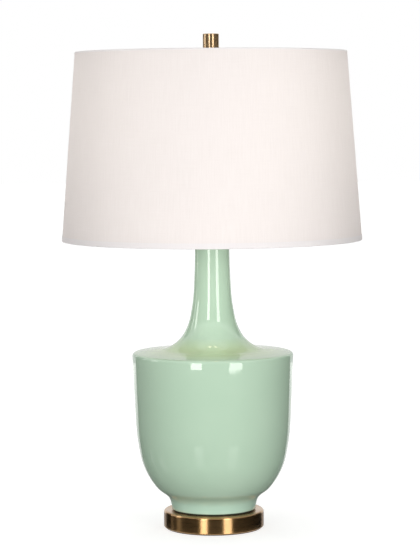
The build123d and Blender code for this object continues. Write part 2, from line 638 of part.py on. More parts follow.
def switch_parts(stem_z):
    """Moulded switch body with its terminals, contact tongue and screw shell."""
    body = turned(*bevelled(
        (0, SWITCH_Z),
        (SWITCH_BODY_RADIUS, SWITCH_Z, SWITCH_BODY_EDGE),
        (SWITCH_BODY_RADIUS, CONTACT_Z),
        (0, CONTACT_Z),
    ))
    flat_low = SWITCH_Z + SWITCH_FLAT_MARGIN
    flat_high = CONTACT_Z - SWITCH_FLAT_MARGIN
    terminal_z = (flat_low + flat_high) / 2
    terminals = []
    for side in (-1, 1):
        low, high = sorted((side * SWITCH_FLAT, side * (SWITCH_BODY_RADIUS + OVERCUT)))
        body -= block((low, -SWITCH_BODY_RADIUS, flat_low), (high, SWITCH_BODY_RADIUS, flat_high))
        middle = side * (SWITCH_FLAT + TERMINAL_HEIGHT / 2)
        screw = Pos(middle, 0, terminal_z) * Rot(0, 90, 0) * Cylinder(TERMINAL_RADIUS, TERMINAL_HEIGHT)
        slot_x = side * (SWITCH_FLAT + TERMINAL_HEIGHT)
        screw -= Pos(slot_x, 0, terminal_z) * Box(TERMINAL_SLOT, 3 * TERMINAL_RADIUS, TERMINAL_SLOT)
        terminals.append(screw)
    bore_end = -SWITCH_BODY_RADIUS + STEM_DEPTH + FACE_GAP
    body -= bar_y(STEM_RADIUS + RUN_FIT, -SWITCH_BODY_RADIUS - OVERCUT, bore_end, stem_z)

    inner = SCREW_SHELL_RADIUS - SCREW_SHELL_WALL
    screw_top = CONTACT_Z + SCREW_SHELL_HEIGHT
    screw_shell = turned(
        (SCREW_SHELL_HOLE, CONTACT_Z),
        (SCREW_SHELL_RADIUS, CONTACT_Z),
        (SCREW_SHELL_RADIUS, screw_top),
        (inner, screw_top),
        (inner, CONTACT_Z + SCREW_SHELL_WALL),
        (SCREW_SHELL_HOLE, CONTACT_Z + SCREW_SHELL_WALL),
    )
    return {
        "switch_body": body,
        "terminal_screws": Compound(children=terminals),
        "screw_shell": screw_shell,
        "centre_contact": tube(0, TONGUE_RADIUS, CONTACT_Z, CONTACT_Z + TONGUE_HEIGHT),
        "switch_stem": bar_y(STEM_RADIUS, -STEM_REACH, -SWITCH_BODY_RADIUS + STEM_DEPTH, stem_z),
        "switch_knob": switch_knob(stem_z),
    }


def switch_knob(stem_z):
    """Fluted knob that is pressed over the end of the switch stem."""
    end = -KNOB_START - KNOB_LENGTH
    knob = bar_y(KNOB_RADIUS, -KNOB_START, end, stem_z)
    knob = chamfer(knob.edges().filter_by(GeomType.CIRCLE), KNOB_EDGE)
    flute = bar_y(KNOB_FLUTE_RADIUS, -KNOB_START + OVERCUT, end - OVERCUT, 0)
    flutes = [
        Pos(0, 0, stem_z) * Rot(0, 360 * i / KNOB_FLUTES, 0) * Pos(0, 0, KNOB_RADIUS) * flute
        for i in range(KNOB_FLUTES)
    ]
    return knob - flutes - bar_y(STEM_RADIUS, -KNOB_START + OVERCUT, -STEM_REACH, stem_z)


# ---------------------------------------------------------------- bulb
def bulb_outline(shrink):
    """Closed half section of the bulb's glass, made smaller by one wall where asked."""
    top = BULB_Z + BULB_LENGTH
    centre = top - BULB_RADIUS
    ball = BULB_RADIUS - shrink
    neck = BULB_NECK - shrink
    cap_top = BULB_Z + BULB_CONTACT_HEIGHT + BULB_INSULATOR_HEIGHT + BULB_CAP_LENGTH
    neck_low = cap_top - BULB_TUCK
    waist = radians(BULB_WAIST)
    waist_point = (ball * cos(waist), centre - ball * sin(waist))
    shoulder_point = (neck, waist_point[1] - (waist_point[0] - neck) / tan(waist))
    middle = (ball * cos(waist / 2), centre + ball * sin(waist / 2))
    return [
        ThreePointArc((0, centre + ball), middle, waist_point),
        FilletPolyline(waist_point, shoulder_point, (neck, neck_low + shrink), radius=BULB_TAPER + shrink),
        Line((neck, neck_low + shrink), (0, neck_low + shrink)),
        Line((0, neck_low + shrink), (0, centre + ball)),
    ]


def bulb_parts():
    """Pear-shaped lamp with a medium screw cap."""
    insulator_z = BULB_Z + BULB_CONTACT_HEIGHT
    cap_z = insulator_z + BULB_INSULATOR_HEIGHT
    cap_top = cap_z + BULB_CAP_LENGTH
    inner = BULB_CAP_RADIUS - BULB_CAP_WALL
    glass = spun(make_face(bulb_outline(0))) - spun(make_face(bulb_outline(BULB_GLASS)))
    insulator = turned(
        (0, insulator_z),
        (BULB_CONTACT_RADIUS + BULB_CONTACT_HEIGHT / 2, insulator_z),
        (inner, cap_z),
        (0, cap_z),
    )
    cap = turned(
        (inner - BULB_CAP_LIP, cap_z),
        (BULB_CAP_RADIUS, cap_z),
        (BULB_CAP_RADIUS, cap_top),
        (inner, cap_top),
        (inner, cap_z + BULB_CAP_WALL),
        (inner - BULB_CAP_LIP, cap_z + BULB_CAP_WALL),
    )
    contact = turned(*bevelled(
        (0, BULB_Z),
        (BULB_CONTACT_RADIUS, BULB_Z, BULB_CONTACT_HEIGHT / 2),
        (BULB_CONTACT_RADIUS, insulator_z),
        (0, insulator_z),
    ))
    return {
        "bulb_glass": glass,
        "bulb_screw_cap": cap,
        "bulb_insulator": insulator,
        "bulb_contact": contact,
    }


# ---------------------------------------------------------------- shade
SLANT = hypot(SHADE_BOTTOM_RADIUS - SHADE_TOP_RADIUS, SHADE_HEIGHT)
LEAN = (SHADE_BOTTOM_RADIUS - SHADE_TOP_RADIUS) / SLANT
RISE = SHADE_HEIGHT / SLANT
FABRIC_DEPTH = TRIM + GLUE_GAP
LINER_DEPTH = FABRIC_DEPTH + FABRIC + GLUE_GAP
RING_DEPTH = LINER_DEPTH + LINER + GLUE_GAP + RING_WIRE
RING_INSET = TRIM + GLUE_GAP + RING_WIRE
HEM_DEPTH = RING_DEPTH + RING_WIRE + GLUE_GAP + TRIM


def wall_point(depth, along):
    """Point (radius, height) at a depth inside the shade's face, measured up its slope."""
    return (
        SHADE_BOTTOM_RADIUS - LEAN * along - RISE * depth,
        SHADE_BOTTOM_Z + RISE * along - LEAN * depth,
    )


def wall_layer(depth, thickness):
    """One cone-shaped layer of the shade's wall between the two hems."""
    low = FABRIC_DEPTH
    high = SLANT - FABRIC_DEPTH
    return turned(
        wall_point(depth, low),
        wall_point(depth, high),
        wall_point(depth + thickness, high),
        wall_point(depth + thickness, low),
    )


def bottom_hem():
    """Rolled hem: folded under the edge, round the ring wire and up the liner."""
    fold = LINER_DEPTH + LINER + GLUE_GAP
    top = RING_INSET + RING_WIRE + GLUE_GAP + TRIM
    corner = HEM_CORNER * RING_WIRE
    return turned(*bevelled(
        wall_point(0, HEM_OUTSIDE),
        (*wall_point(0, 0), TRIM),
        (*wall_point(HEM_DEPTH, 0), corner + TRIM / 2),
        (*wall_point(HEM_DEPTH, top), corner + TRIM / 2),
        wall_point(fold + TRIM, top),
        wall_point(fold + TRIM, HEM_INSIDE),
        wall_point(fold, HEM_INSIDE),
        wall_point(fold, top - TRIM),
        (*wall_point(HEM_DEPTH - TRIM, top - TRIM), corner),
        (*wall_point(HEM_DEPTH - TRIM, TRIM), corner),
        wall_point(TRIM, TRIM),
        wall_point(TRIM, HEM_OUTSIDE),
    ))


def top_hem():
    """Narrow top hem: over the edge and down beside the ring, open where the arms leave."""

    def place(depth, along):
        return wall_point(depth, SLANT - along)

    return turned(*bevelled(
        place(0, TOP_HEM_OUTSIDE),
        (*place(0, 0), TRIM / 2),
        (*place(HEM_DEPTH, 0), TRIM / 2),
        place(HEM_DEPTH, TOP_HEM_INSIDE),
        place(HEM_DEPTH - TRIM, TOP_HEM_INSIDE),
        place(HEM_DEPTH - TRIM, TRIM),
        place(TRIM, TRIM),
        place(TRIM, TOP_HEM_OUTSIDE),
    ))


def spider_arm(wire):
    """One arm of the spider along +X, from the top ring down to the washer."""
    ring_radius, ring_z = wall_point(RING_DEPTH, SLANT - RING_INSET)
    washer_z = SPIDER_Z + RING_WIRE
    route = [
        (ring_radius, ring_z),
        (SPIDER_BEND_OUTER, ring_z - SPIDER_SAG),
        (SPIDER_BEND_INNER, washer_z),
        (SPIDER_WASHER_RADIUS - 3 * RING_WIRE, washer_z),
    ]
    path = Plane.XZ * FilletPolyline(*route, radius=SPIDER_BEND)
    start = Plane(origin=(ring_radius, 0, ring_z), z_dir=(-1, 0, -SPIDER_SAG / (ring_radius - SPIDER_BEND_OUTER)))
    return sweep(start * Circle(wire), path=path)


def shade_parts():
    """Drum shade: linen on a stiff liner, rolled hems, bottom ring and top spider."""
    ring_radius, ring_z = wall_point(RING_DEPTH, SLANT - RING_INSET)
    low_radius, low_z = wall_point(RING_DEPTH, RING_INSET)
    turns = [90 + 360 * i / SPIDER_ARMS for i in range(SPIDER_ARMS)]
    spider = Pos(0, 0, ring_z) * Torus(ring_radius, RING_WIRE)
    spider += tube(0, SPIDER_WASHER_RADIUS, SPIDER_Z, SPIDER_Z + SPIDER_WASHER)
    trim = top_hem()
    for turn in turns:
        spider += Rot(0, 0, turn) * spider_arm(RING_WIRE)
        notch_z = ring_z - SPIDER_SAG / 2
        notch_size = 2 * (RING_WIRE + SPIDER_NOTCH)
        notch = Pos(ring_radius - RING_WIRE, 0, notch_z) * Box(HEM_DEPTH, notch_size, notch_size + SPIDER_SAG)
        trim -= Rot(0, 0, turn) * notch
    spider -= tube(0, SPIDER_WASHER_HOLE, SPIDER_Z - OVERCUT, SPIDER_Z + SPIDER_WASHER + OVERCUT)
    return {
        "shade_fabric": wall_layer(FABRIC_DEPTH, FABRIC),
        "shade_liner": wall_layer(LINER_DEPTH, LINER),
        "shade_bottom_trim": bottom_hem(),
        "shade_top_trim": trim,
        "shade_bottom_ring": Pos(0, 0, low_z) * Torus(low_radius, RING_WIRE),
        "shade_spider": spider,
    }


# ---------------------------------------------------------------- finial
def finial():
    """Turned brass finial: drum, stem, foot and a blind threaded bore."""
    top = FINIAL_Z + FINIAL_HEIGHT
    drum = top - FINIAL_DRUM
    bore = STUD_RADIUS + RUN_FIT
    return turned(
        (bore, FINIAL_Z),
        (FINIAL_FOOT, FINIAL_Z, FINIAL_EDGE / 2),
        (FINIAL_FOOT, FINIAL_Z + FINIAL_FOOT_HEIGHT, FINIAL_EDGE),
        (FINIAL_STEM, FINIAL_Z + FINIAL_FOOT_HEIGHT + FINIAL_EDGE, FINIAL_EDGE),
        (FINIAL_STEM, drum),
        (FINIAL_RADIUS, drum, FINIAL_EDGE),
        (FINIAL_RADIUS, top, FINIAL_EDGE),
        (0, top),
        (0, FINIAL_Z + FINIAL_BORE_DEPTH + bore / 2),
        (bore, FINIAL_Z + FINIAL_BORE_DEPTH),
    )


# ---------------------------------------------------------------- all pieces
lamp = {
    **base_parts(),
    **neck_parts(),
    **harp_parts(),
    **holder_parts(),
    **bulb_parts(),
    **shade_parts(),
    "finial": finial(),
}

os.makedirs("parts", exist_ok=True)
for name, piece in lamp.items():
    export_step(piece, f"parts/{name}.step")
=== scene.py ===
"""Table lamp with a glazed ceramic bottle, a brass base and a linen drum shade.

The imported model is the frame. Classes below dress its pieces and add the soft, glazed and threaded
ones, then the studio sets the floor, the lights and the camera. Metres, +Z up, the front is -Y.
"""

import json
import logging
import math
from dataclasses import dataclass, field
from enum import Enum

import bmesh
import bpy
from mathutils import Matrix, Vector, geometry, noise


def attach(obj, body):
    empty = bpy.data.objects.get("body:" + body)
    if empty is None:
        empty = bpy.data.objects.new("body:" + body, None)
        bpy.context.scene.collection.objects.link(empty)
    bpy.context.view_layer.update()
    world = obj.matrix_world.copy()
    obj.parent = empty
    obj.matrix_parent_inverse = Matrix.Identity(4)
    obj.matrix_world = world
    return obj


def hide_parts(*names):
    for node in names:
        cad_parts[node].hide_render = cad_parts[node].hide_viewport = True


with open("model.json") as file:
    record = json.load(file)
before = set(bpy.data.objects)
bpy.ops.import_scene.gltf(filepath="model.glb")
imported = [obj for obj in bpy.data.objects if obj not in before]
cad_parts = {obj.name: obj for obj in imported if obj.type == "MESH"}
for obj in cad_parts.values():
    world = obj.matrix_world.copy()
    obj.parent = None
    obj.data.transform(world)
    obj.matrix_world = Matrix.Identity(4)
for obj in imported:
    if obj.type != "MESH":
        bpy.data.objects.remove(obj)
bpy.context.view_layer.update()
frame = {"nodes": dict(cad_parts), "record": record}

LOG = logging.getLogger("lamp")
MM = 0.001
FULL_TURN = 2 * math.pi
AXIS_POINT = (0.0, 0.0, 0.0)
UP = (0.0, 0.0, 1.0)
MERGE = 1e-6
OPEN_ANGLE = 180.0  # degrees that a light without a grid shines into
QUARTER_TURN = 0.25
COLOUR_MIX_INPUTS = (0, 6, 7)  # factor, first colour, second colour
COLOUR_MIX_RESULT = 2

Triple = tuple[float, float, float]
Colour = Triple
Point = tuple[float, float]
Mesh = bmesh.types.BMesh
Piece = bpy.types.Object
Material = bpy.types.Material
Socket = bpy.types.NodeSocket

WHITE: Colour = (1.0, 1.0, 1.0)
DAYLIGHT: Colour = (1.0, 0.985, 0.965)
WARM: Colour = (1.0, 0.960, 0.885)


class Body(Enum):
    """CAD bodies that a piece can ride on."""

    STAND = "stand"
    BULB = "bulb"
    SHADE = "shade"


# ------------------------------------------------------------------ meshes
def smooth_line(knots: list[Point], steps: int) -> list[Point]:
    """Curve through knots with bends that suit the distances between them.

    Args:
        knots: Points of a half section, as (radius, height).
        steps: Parts that each run between two knots is divided into.

    Returns:
        The knots and the points between them, in order.
    """
    spots = [Vector((r, z)) for r, z in knots]
    tangents = []
    for i, here in enumerate(spots):
        before, after = spots[max(i - 1, 0)], spots[min(i + 1, len(spots) - 1)]
        back, ahead = (here - before).length, (after - here).length
        if not back or not ahead:
            tangents.append((after - before).normalized())
            continue
        blend = (here - before) / back * ahead + (after - here) / ahead * back
        tangents.append(blend.normalized())
    line = [knots[0]]
    for a, b, ta, tb in zip(spots, spots[1:], tangents, tangents[1:]):
        reach = (b - a).length / 3
        handles = [Vector((*p, 0)) for p in (a, a + ta * reach, b - tb * reach, b)]
        line += [(p.x, p.y) for p in geometry.interpolate_bezier(*handles, steps + 1)[1:]]
    return line


def moved_in(line: list[Point], wall: float) -> list[Point]:
    """A half section's line moved to its left by a wall's thickness.

    Args:
        line: Points of the line, as (radius, height).
        wall: Distance to move it, in metres.

    Returns:
        The moved points.
    """
    moved = []
    for i, (r, z) in enumerate(line):
        (r0, z0), (r1, z1) = line[max(i - 1, 0)], line[min(i + 1, len(line) - 1)]
        run = math.hypot(r1 - r0, z1 - z0)
        moved.append((r - (z1 - z0) / run * wall, z + (r1 - r0) / run * wall))
    return moved


def part_of(line: list[Point], first: float, last: float) -> list[Point]:
    """Points of a line between two shares of its length.

    Args:
        line: The line's points.
        first: Share where the part starts.
        last: Share where it ends.

    Returns:
        The points in that part.
    """
    runs = [0.0]
    for (r0, z0), (r1, z1) in zip(line, line[1:]):
        runs.append(runs[-1] + math.hypot(r1 - r0, z1 - z0))
    return [p for p, run in zip(line, runs) if first <= run / runs[-1] <= last]


def scaled(shares: list[Point], low: Point, high: Point) -> list[Point]:
    """Points from their shares of the way between two corners."""
    return [(low[0] + (high[0] - low[0]) * wide, low[1] + (high[1] - low[1]) * tall)
            for wide, tall in shares]


def arc(centre: Point, radius: float, angle: float, steps: int) -> list[Point]:
    """Points of a round edge, from the level of its centre up and without the first."""
    turns = (angle * i / steps for i in range(1, steps + 1))
    return [(centre[0] + radius * math.cos(t), centre[1] + radius * math.sin(t)) for t in turns]


def lathe(points: list[Point], steps: int, closed: bool = True, lift: float = 0.0,
          start: float = 0.0) -> Mesh:
    """Half section spun about the lamp's axis.

    Args:
        points: The section, as (radius, height).
        steps: Parts that the turn is divided into.
        closed: Whether the section's last point joins its first.
        lift: Rise of one whole turn, for a thread.
        start: Angle where the section stands, in radians.

    Returns:
        The spun mesh, with its poles and its seam merged.
    """
    bm = bmesh.new()
    corners = [bm.verts.new((r * math.cos(start), r * math.sin(start), z)) for r, z in points]
    pairs = list(zip(corners, corners[1:] + corners[:1]))
    edges = [bm.edges.new(pair) for pair in (pairs if closed else pairs[:-1])]
    bmesh.ops.spin(bm, geom=corners + edges, cent=AXIS_POINT, axis=UP, angle=FULL_TURN,
                   steps=steps, dvec=(0.0, 0.0, lift / steps), use_merge=not lift)
    bmesh.ops.remove_doubles(bm, verts=bm.verts, dist=MERGE)
    bmesh.ops.recalc_face_normals(bm, faces=bm.faces)
    return bm


def finished(bm: Mesh, name: str, material: Material, crease: float = 38.0) -> Piece:
    """Object at the origin, with smooth faces and sharp edges at its rims and its creases.

    Args:
        bm: The piece's mesh, which is freed.
        name: The piece's name.
        material: Its only material.
        crease: Angle in degrees above which an edge stays sharp.

    Returns:
        The new object, linked to the scene.
    """
    limit = math.radians(crease)
    for face in bm.faces:
        face.smooth = True
    for edge in bm.edges:
        edge.smooth = len(edge.link_faces) == 2 and edge.calc_face_angle(0) < limit
    mesh = bpy.data.meshes.new(name)
    bm.to_mesh(mesh)
    bm.free()
    mesh.materials.append(material)
    piece = bpy.data.objects.new(name, mesh)
    bpy.context.scene.collection.objects.link(piece)
    return piece


def place(piece: Piece, body: Body, slot: str, *nodes: str) -> Piece:
    """Put a piece on its body and hide the CAD nodes that it stands for.

    Args:
        piece: The new piece.
        body: Body that it rides on.
        slot: Material slot of the record; not used.
        nodes: CAD nodes that it replaces.

    Returns:
        The same piece.
    """
    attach(piece, body.value)
    if nodes:
        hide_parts(*nodes)
    LOG.info("%s: %d faces on %s", piece.name, len(piece.data.polygons), body.value)
    return piece


def wrap_map(bm: Mesh, radius: float) -> None:
    """Give a spun piece a map in metres: round the axis, and up its side.

    Args:
        bm: The mesh, before it is finished.
        radius: Radius at which the first coordinate is true to size.
    """
    layer = bm.loops.layers.uv.new("cloth")
    for face in bm.faces:
        middle = face.calc_center_median()
        base = math.atan2(middle.x, middle.y)
        for loop in face.loops:
            spot = loop.vert.co
            turn = math.remainder(math.atan2(spot.x, spot.y) - base, FULL_TURN)
            loop[layer].uv = ((base + turn) * radius, spot.z - math.hypot(spot.x, spot.y))


# ------------------------------------------------------------------ materials
class Graph:
    """Node graph of one material or world, with short calls for the nodes that they share."""

    def __init__(self, name: str, world: bool = False) -> None:
        """Start an empty graph.

        Args:
            name: Name of the new material or world.
            world: Whether it is a world.
        """
        self.owner = (bpy.data.worlds if world else bpy.data.materials).new(name)
        self.owner.use_nodes = True
        self.tree = self.owner.node_tree
        self.tree.nodes.clear()
        self.output = self.tree.nodes.new("ShaderNodeOutput" + ("World" if world else "Material"))

    def add(self, kind: str, inputs: dict | None = None,
            settings: dict | None = None) -> bpy.types.Node:
        """New node with its inputs and settings.

        Args:
            kind: The node's type, without its prefix.
            inputs: Values for its sockets, or other nodes' sockets to link to them.
            settings: Properties of the node.

        Returns:
            The node.
        """
        node = self.tree.nodes.new("ShaderNode" + kind)
        for key, value in (settings or {}).items():
            setattr(node, key, value)
        for key, value in (inputs or {}).items():
            if isinstance(value, Socket):
                self.tree.links.new(value, node.inputs[key])
            elif node.inputs[key].type == "RGBA":
                node.inputs[key].default_value = (*value, 1.0)
            else:
                node.inputs[key].default_value = value
        return node

    def place(self, output: str = "Object") -> Socket:
        """Coordinates that stay with the piece: its object's, or its own map's."""
        return self.add("TexCoord").outputs[output]

    def math(self, operation: str, *values: object) -> Socket:
        """Result of a Math node's operation on sockets or numbers."""
        return self.add("Math", dict(enumerate(values)), {"operation": operation}).outputs[0]

    def length(self, vector: Socket) -> Socket:
        """Length of a vector."""
        return self.add("VectorMath", {0: vector}, {"operation": "LENGTH"}).outputs["Value"]

    def stretched(self, scale: Triple, output: str = "Object") -> Socket:
        """Coordinates scaled along each axis."""
        return self.add("Mapping", {"Vector": self.place(output), "Scale": scale}).outputs[0]

    def noise(self, scale: float, detail: float = 2.0, rough: float = 0.5,
              vector: Socket | None = None) -> Socket:
        """Soft noise from 0 to 1.

        Args:
            scale: Features per unit of the coordinates.
            detail: Finer layers.
            rough: Strength of the finer layers.
            vector: Coordinates, in place of the object's.

        Returns:
            The noise's value.
        """
        where = self.place() if vector is None else vector
        inputs = {"Vector": where, "Scale": scale, "Detail": detail, "Roughness": rough}
        return self.add("TexNoise", inputs).outputs[0]

    def between(self, value: Socket, low: float, high: float, out_low: float = 0.0,
                out_high: float = 1.0) -> Socket:
        """A value's range from low to high stretched to another range, and held at its ends."""
        return self.add("MapRange", {"Value": value, "From Min": low, "From Max": high,
                                     "To Min": out_low, "To Max": out_high}).outputs[0]

    def spread(self, value: Socket, half: float, low: float = 0.0, high: float = 1.0) -> Socket:
        """Soft noise within half of its middle value, stretched to a range."""
        return self.between(value, 0.5 - half, 0.5 + half, low, high)

    def blend(self, first: Socket, share: float, second: Socket) -> Socket:
        """Sum of a share of the first value and the rest of the second."""
        return self.math("ADD", self.math("MULTIPLY", first, share),
                         self.math("MULTIPLY", second, 1.0 - share))

    def tint(self, factor: Socket, low: object, high: object) -> Socket:
        """Colour between two colours or their sockets."""
        inputs = dict(zip(COLOUR_MIX_INPUTS, (factor, low, high)))
        return self.add("Mix", inputs, {"data_type": "RGBA"}).outputs[COLOUR_MIX_RESULT]

    def bump(self, height: Socket, depth: float, strength: float = 1.0,
             under: Socket | None = None) -> Socket:
        """Relief of a given depth in metres.

        Args:
            height: Height from 0 to 1.
            depth: What a height of 1 stands for.
            strength: Share of the relief.
            under: Relief that this one is added to.

        Returns:
            The normal's socket.
        """
        inputs = {"Height": height, "Distance": depth, "Strength": strength}
        if under is not None:
            inputs["Normal"] = under
        return self.add("Bump", inputs).outputs[0]

    def close(self, shader: bpy.types.Node) -> Material | bpy.types.World:
        """Link the last shader to the output and hand over the material or world."""
        self.tree.links.new(shader.outputs[0], self.output.inputs["Surface"])
        return self.owner

    def principled(self, inputs: dict) -> Material:
        """Close with the main shader and the given inputs."""
        return self.close(self.add("BsdfPrincipled", inputs))

    def translucent(self, inputs: dict, share: float) -> Material:
        """Close with the main shader and one that lets a share of the light through.

        Args:
            inputs: Inputs of the main shader, with its colour and relief, which both take.
            share: Share of the light.

        Returns:
            The material.
        """
        front = self.add("BsdfPrincipled", inputs)
        behind = self.add("BsdfTranslucent", {"Color": inputs["Base Color"],
                                              "Normal": inputs["Normal"]})
        return self.close(self.add("MixShader", {0: share, 1: front.outputs[0],
                                                 2: behind.outputs[0]}))


@dataclass(frozen=True)
class Glaze:
    """Glossy celadon glaze, paler where it is thin, with painted light and shade by the neck and the
    foot.

    Heights are the lamp's. The yellower tint by the neck is glaze pooled thick and painted warm
    light from the bulb; it comes in at dish_z and fades out up to dish_top. The paler tint towards
    the foot is painted light from the floor and fades out over foot_fade, above the dark line at its
    edge, which is glaze pooled dark and painted shade in the gap over the base.
    """

    name: str = "celadon_glaze"
    body: Colour = (0.466, 0.624, 0.488)
    cloud: Colour = (0.442, 0.604, 0.468)
    thin: Colour = (0.560, 0.690, 0.555)
    pool_and_bulb_light: Colour = (0.485, 0.625, 0.375)
    foot_pool_and_shadow_line: Colour = (0.045, 0.070, 0.040)
    floor_lit_foot: Colour = (0.540, 0.790, 0.670)
    dish_z: float = 241.0 * MM
    dish_edge: float = 2.0 * MM
    dish_full: float = 6.0 * MM
    dish_top: float = 262.0 * MM
    foot_z: float = 25.8 * MM
    foot_fade: float = 26.0 * MM
    line_full: float = 0.9 * MM
    line_end: float = 1.7 * MM
    wave: float = 0.5 * MM
    peel: float = 0.01 * MM
    roughness: float = 0.035
    refraction: float = 1.62

    def material(self) -> Material:
        """Build the glaze.

        Returns:
            The material.
        """
        g = Graph(self.name)
        clouds, speck = g.noise(7.0, 3.0, 0.55), g.noise(900.0, 2.0, 0.6)
        height = g.add("SeparateXYZ", {"Vector": g.place()}).outputs["Z"]
        # Yellower tint by the neck: glaze pooled thick, and painted warm light from the bulb.
        rise = g.between(height, self.dish_z - self.dish_edge, self.dish_z + self.dish_edge)
        fall = g.between(height, self.dish_z + self.dish_full, self.dish_top, 1.0, 0.0)
        pooled_and_bulb_lit = g.math("MULTIPLY", g.math("MULTIPLY", rise, fall),
                        g.between(clouds, 0.3, 0.6, 0.7, 1.0))
        # Paler towards the foot: painted light from the floor.
        above = g.math("SUBTRACT", height, self.foot_z)
        low = g.between(above, 0.0, self.foot_fade, 0.75, 0.0)
        # Dark line at the foot's edge: glaze pooled dark, and painted shade in the gap over the
        # base.
        edge = g.between(above, self.line_full, self.line_end, 1.0, 0.0)
        colour = g.tint(g.spread(clouds, 0.15), self.cloud, self.body)
        for factor, other in ((pooled_and_bulb_lit, self.pool_and_bulb_light), (low, self.floor_lit_foot),
                              (g.between(speck, 0.62, 0.80, 0.0, 0.25), self.thin),
                              (edge, self.foot_pool_and_shadow_line)):
            colour = g.tint(factor, colour, other)
        waves = g.bump(g.noise(16.0, 1.0, 0.4), self.wave, 0.5)
        return g.principled({
            "Base Color": colour,
            "Roughness": g.spread(clouds, 0.2, self.roughness * 0.8, self.roughness * 1.3),
            "IOR": self.refraction,
            "Normal": g.bump(g.noise(240.0, 1.0), self.peel, 0.6, waves),
        })


@dataclass(frozen=True)
class Metal:
    """Plated or bare metal, brushed round the axis where it has a stretch, with a worn film."""

    name: str
    light: Colour
    dark: Colour
    roughness: float
    grain: float
    stretch: float = 0.0
    film: float = 0.0
    film_roughness: float = 0.08
    film_refraction: float = 1.6
    streaks_across: float = 2600.0
    streaks_along: float = 22.0
    plain_grain: float = 500.0

    def material(self) -> Material:
        """Build the metal.

        Returns:
            The material.
        """
        g = Graph(self.name)
        if self.stretch:
            x, y, z = g.add("SeparateXYZ", {"Vector": g.place()}).outputs
            radius = g.length(g.add("CombineXYZ", {"X": x, "Y": y}).outputs[0])
            grain = g.add("CombineXYZ", {
                "X": g.math("MULTIPLY", x, self.streaks_along),
                "Y": g.math("MULTIPLY", y, self.streaks_along),
                "Z": g.math("MULTIPLY", g.math("ADD", radius, z), self.streaks_across),
            }).outputs[0]
        else:
            grain = g.stretched((self.plain_grain,) * 3)
        streak = g.noise(1.0, 3.0, 0.6, grain)
        worn = g.spread(g.blend(streak, 0.55, g.noise(34.0, 4.0, 0.6)), 0.14)
        inputs = {
            "Base Color": g.tint(worn, self.dark, self.light),
            "Metallic": 1.0,
            "Roughness": g.spread(streak, 0.25, self.roughness * 0.88, self.roughness * 1.14),
            "Normal": g.bump(streak, self.grain, 0.7),
        }
        if self.stretch:
            tangent = g.add("Tangent", {}, {"direction_type": "RADIAL", "axis": "Z"}).outputs[0]
            inputs |= {"Anisotropic": self.stretch, "Anisotropic Rotation": QUARTER_TURN,
                       "Tangent": tangent}
        if self.film:
            inputs |= {"Coat Weight": self.film, "Coat Roughness": self.film_roughness,
                       "Coat IOR": self.film_refraction}
        return g.principled(inputs)


@dataclass(frozen=True)
class Moulded:
    """Plastic, rubber, board, enamel or cast iron: one body colour with a fine skin."""

    name: str
    light: Colour
    dark: Colour
    roughness: float
    grain_size: float
    grain_depth: float
    gloss: float = 0.5

    def material(self) -> Material:
        """Build the material.

        Returns:
            The material.
        """
        g = Graph(self.name)
        skin, patch = g.noise(1.0 / self.grain_size, 3.0, 0.6), g.noise(60.0)
        both = g.between(g.math("MULTIPLY", skin, patch), 0.12, 0.38)
        return g.principled({
            "Base Color": g.tint(both, self.dark, self.light),
            "Roughness": g.spread(skin, 0.2, self.roughness * 0.85, self.roughness * 1.15),
            "Specular IOR Level": self.gloss,
            "Normal": g.bump(skin, self.grain_depth, 0.8),
        })


@dataclass(frozen=True)
class Glass:
    """Frosted bulb glass or the opaque glass between its contacts."""

    name: str
    tone: Colour
    cloud: Colour
    through: float
    roughness: float
    refraction: float = 1.5
    etching: float = 0.008 * MM

    def material(self) -> Material:
        """Build the glass.

        Returns:
            The material.
        """
        g = Graph(self.name)
        haze, etch = g.noise(45.0, 3.0), g.noise(2600.0, 2.0, 0.6)
        return g.principled({
            "Base Color": g.tint(haze, self.tone, self.cloud),
            "Roughness": g.spread(etch, 0.2, self.roughness * 0.9, self.roughness * 1.1),
            "Transmission Weight": self.through,
            "IOR": self.refraction,
            "Normal": g.bump(etch, self.etching, 0.5),
        })


@dataclass(frozen=True)
class Linen:
    """Plain-woven linen with upright slubs, which lets part of the light through."""

    name: str = "white_linen"
    thread: Colour = (0.900, 0.862, 0.853)
    shaded: Colour = (0.842, 0.802, 0.790)
    pitch: float = 0.55 * MM
    wander: float = 0.9
    slub_depth: float = 0.14 * MM
    weave_depth: float = 0.08 * MM
    through: float = 0.28

    def material(self) -> Material:
        """Build the cloth.

        Returns:
            The material.
        """
        g = Graph(self.name)
        rate = 1.0 / self.pitch
        wobble = g.noise(1.0, vector=g.stretched((90.0, 90.0, 1.0), "UV"))
        shift = g.math("MULTIPLY", g.math("SUBTRACT", wobble, 0.5), self.wander)
        u, v, _ = g.add("SeparateXYZ", {"Vector": g.stretched((rate, rate, 1.0), "UV")}).outputs
        u, v = (g.math("ADD", part, shift) for part in (u, v))
        warp, weft = (g.math("ABSOLUTE", g.math("SINE", g.math("MULTIPLY", part, math.pi)))
                      for part in (u, v))
        over = g.math("PINGPONG", g.math("ADD", g.math("FLOOR", u), g.math("FLOOR", v)), 1.0)
        weave = g.math("ADD", g.math("MULTIPLY", warp, over),
                       g.math("MULTIPLY", weft, g.math("SUBTRACT", 1.0, over)))
        upright, level = (g.noise(1.0, 4.0, 0.62, g.stretched(scale, "UV"))
                          for scale in ((620.0, 26.0, 1.0), (24.0, 760.0, 1.0)))
        slub = g.blend(upright, 0.68, level)
        # Thread colour on the weave's crowns and light slubs, the shaded colour in its gaps: painted
        # shade between the threads, with the slubs the yarn's own tone.
        shade = g.math("ADD", g.spread(slub, 0.16, 0.0, 0.72), g.math("MULTIPLY", weave, 0.28))
        return g.translucent({
            "Base Color": g.tint(shade, self.shaded, self.thread),
            "Roughness": 0.86,
            "Specular IOR Level": 0.25,
            "Sheen Weight": 0.12,
            "Sheen Roughness": 0.45,
            "Normal": g.bump(slub, self.slub_depth, 0.5, g.bump(weave, self.weave_depth, 0.8)),
        }, self.through)


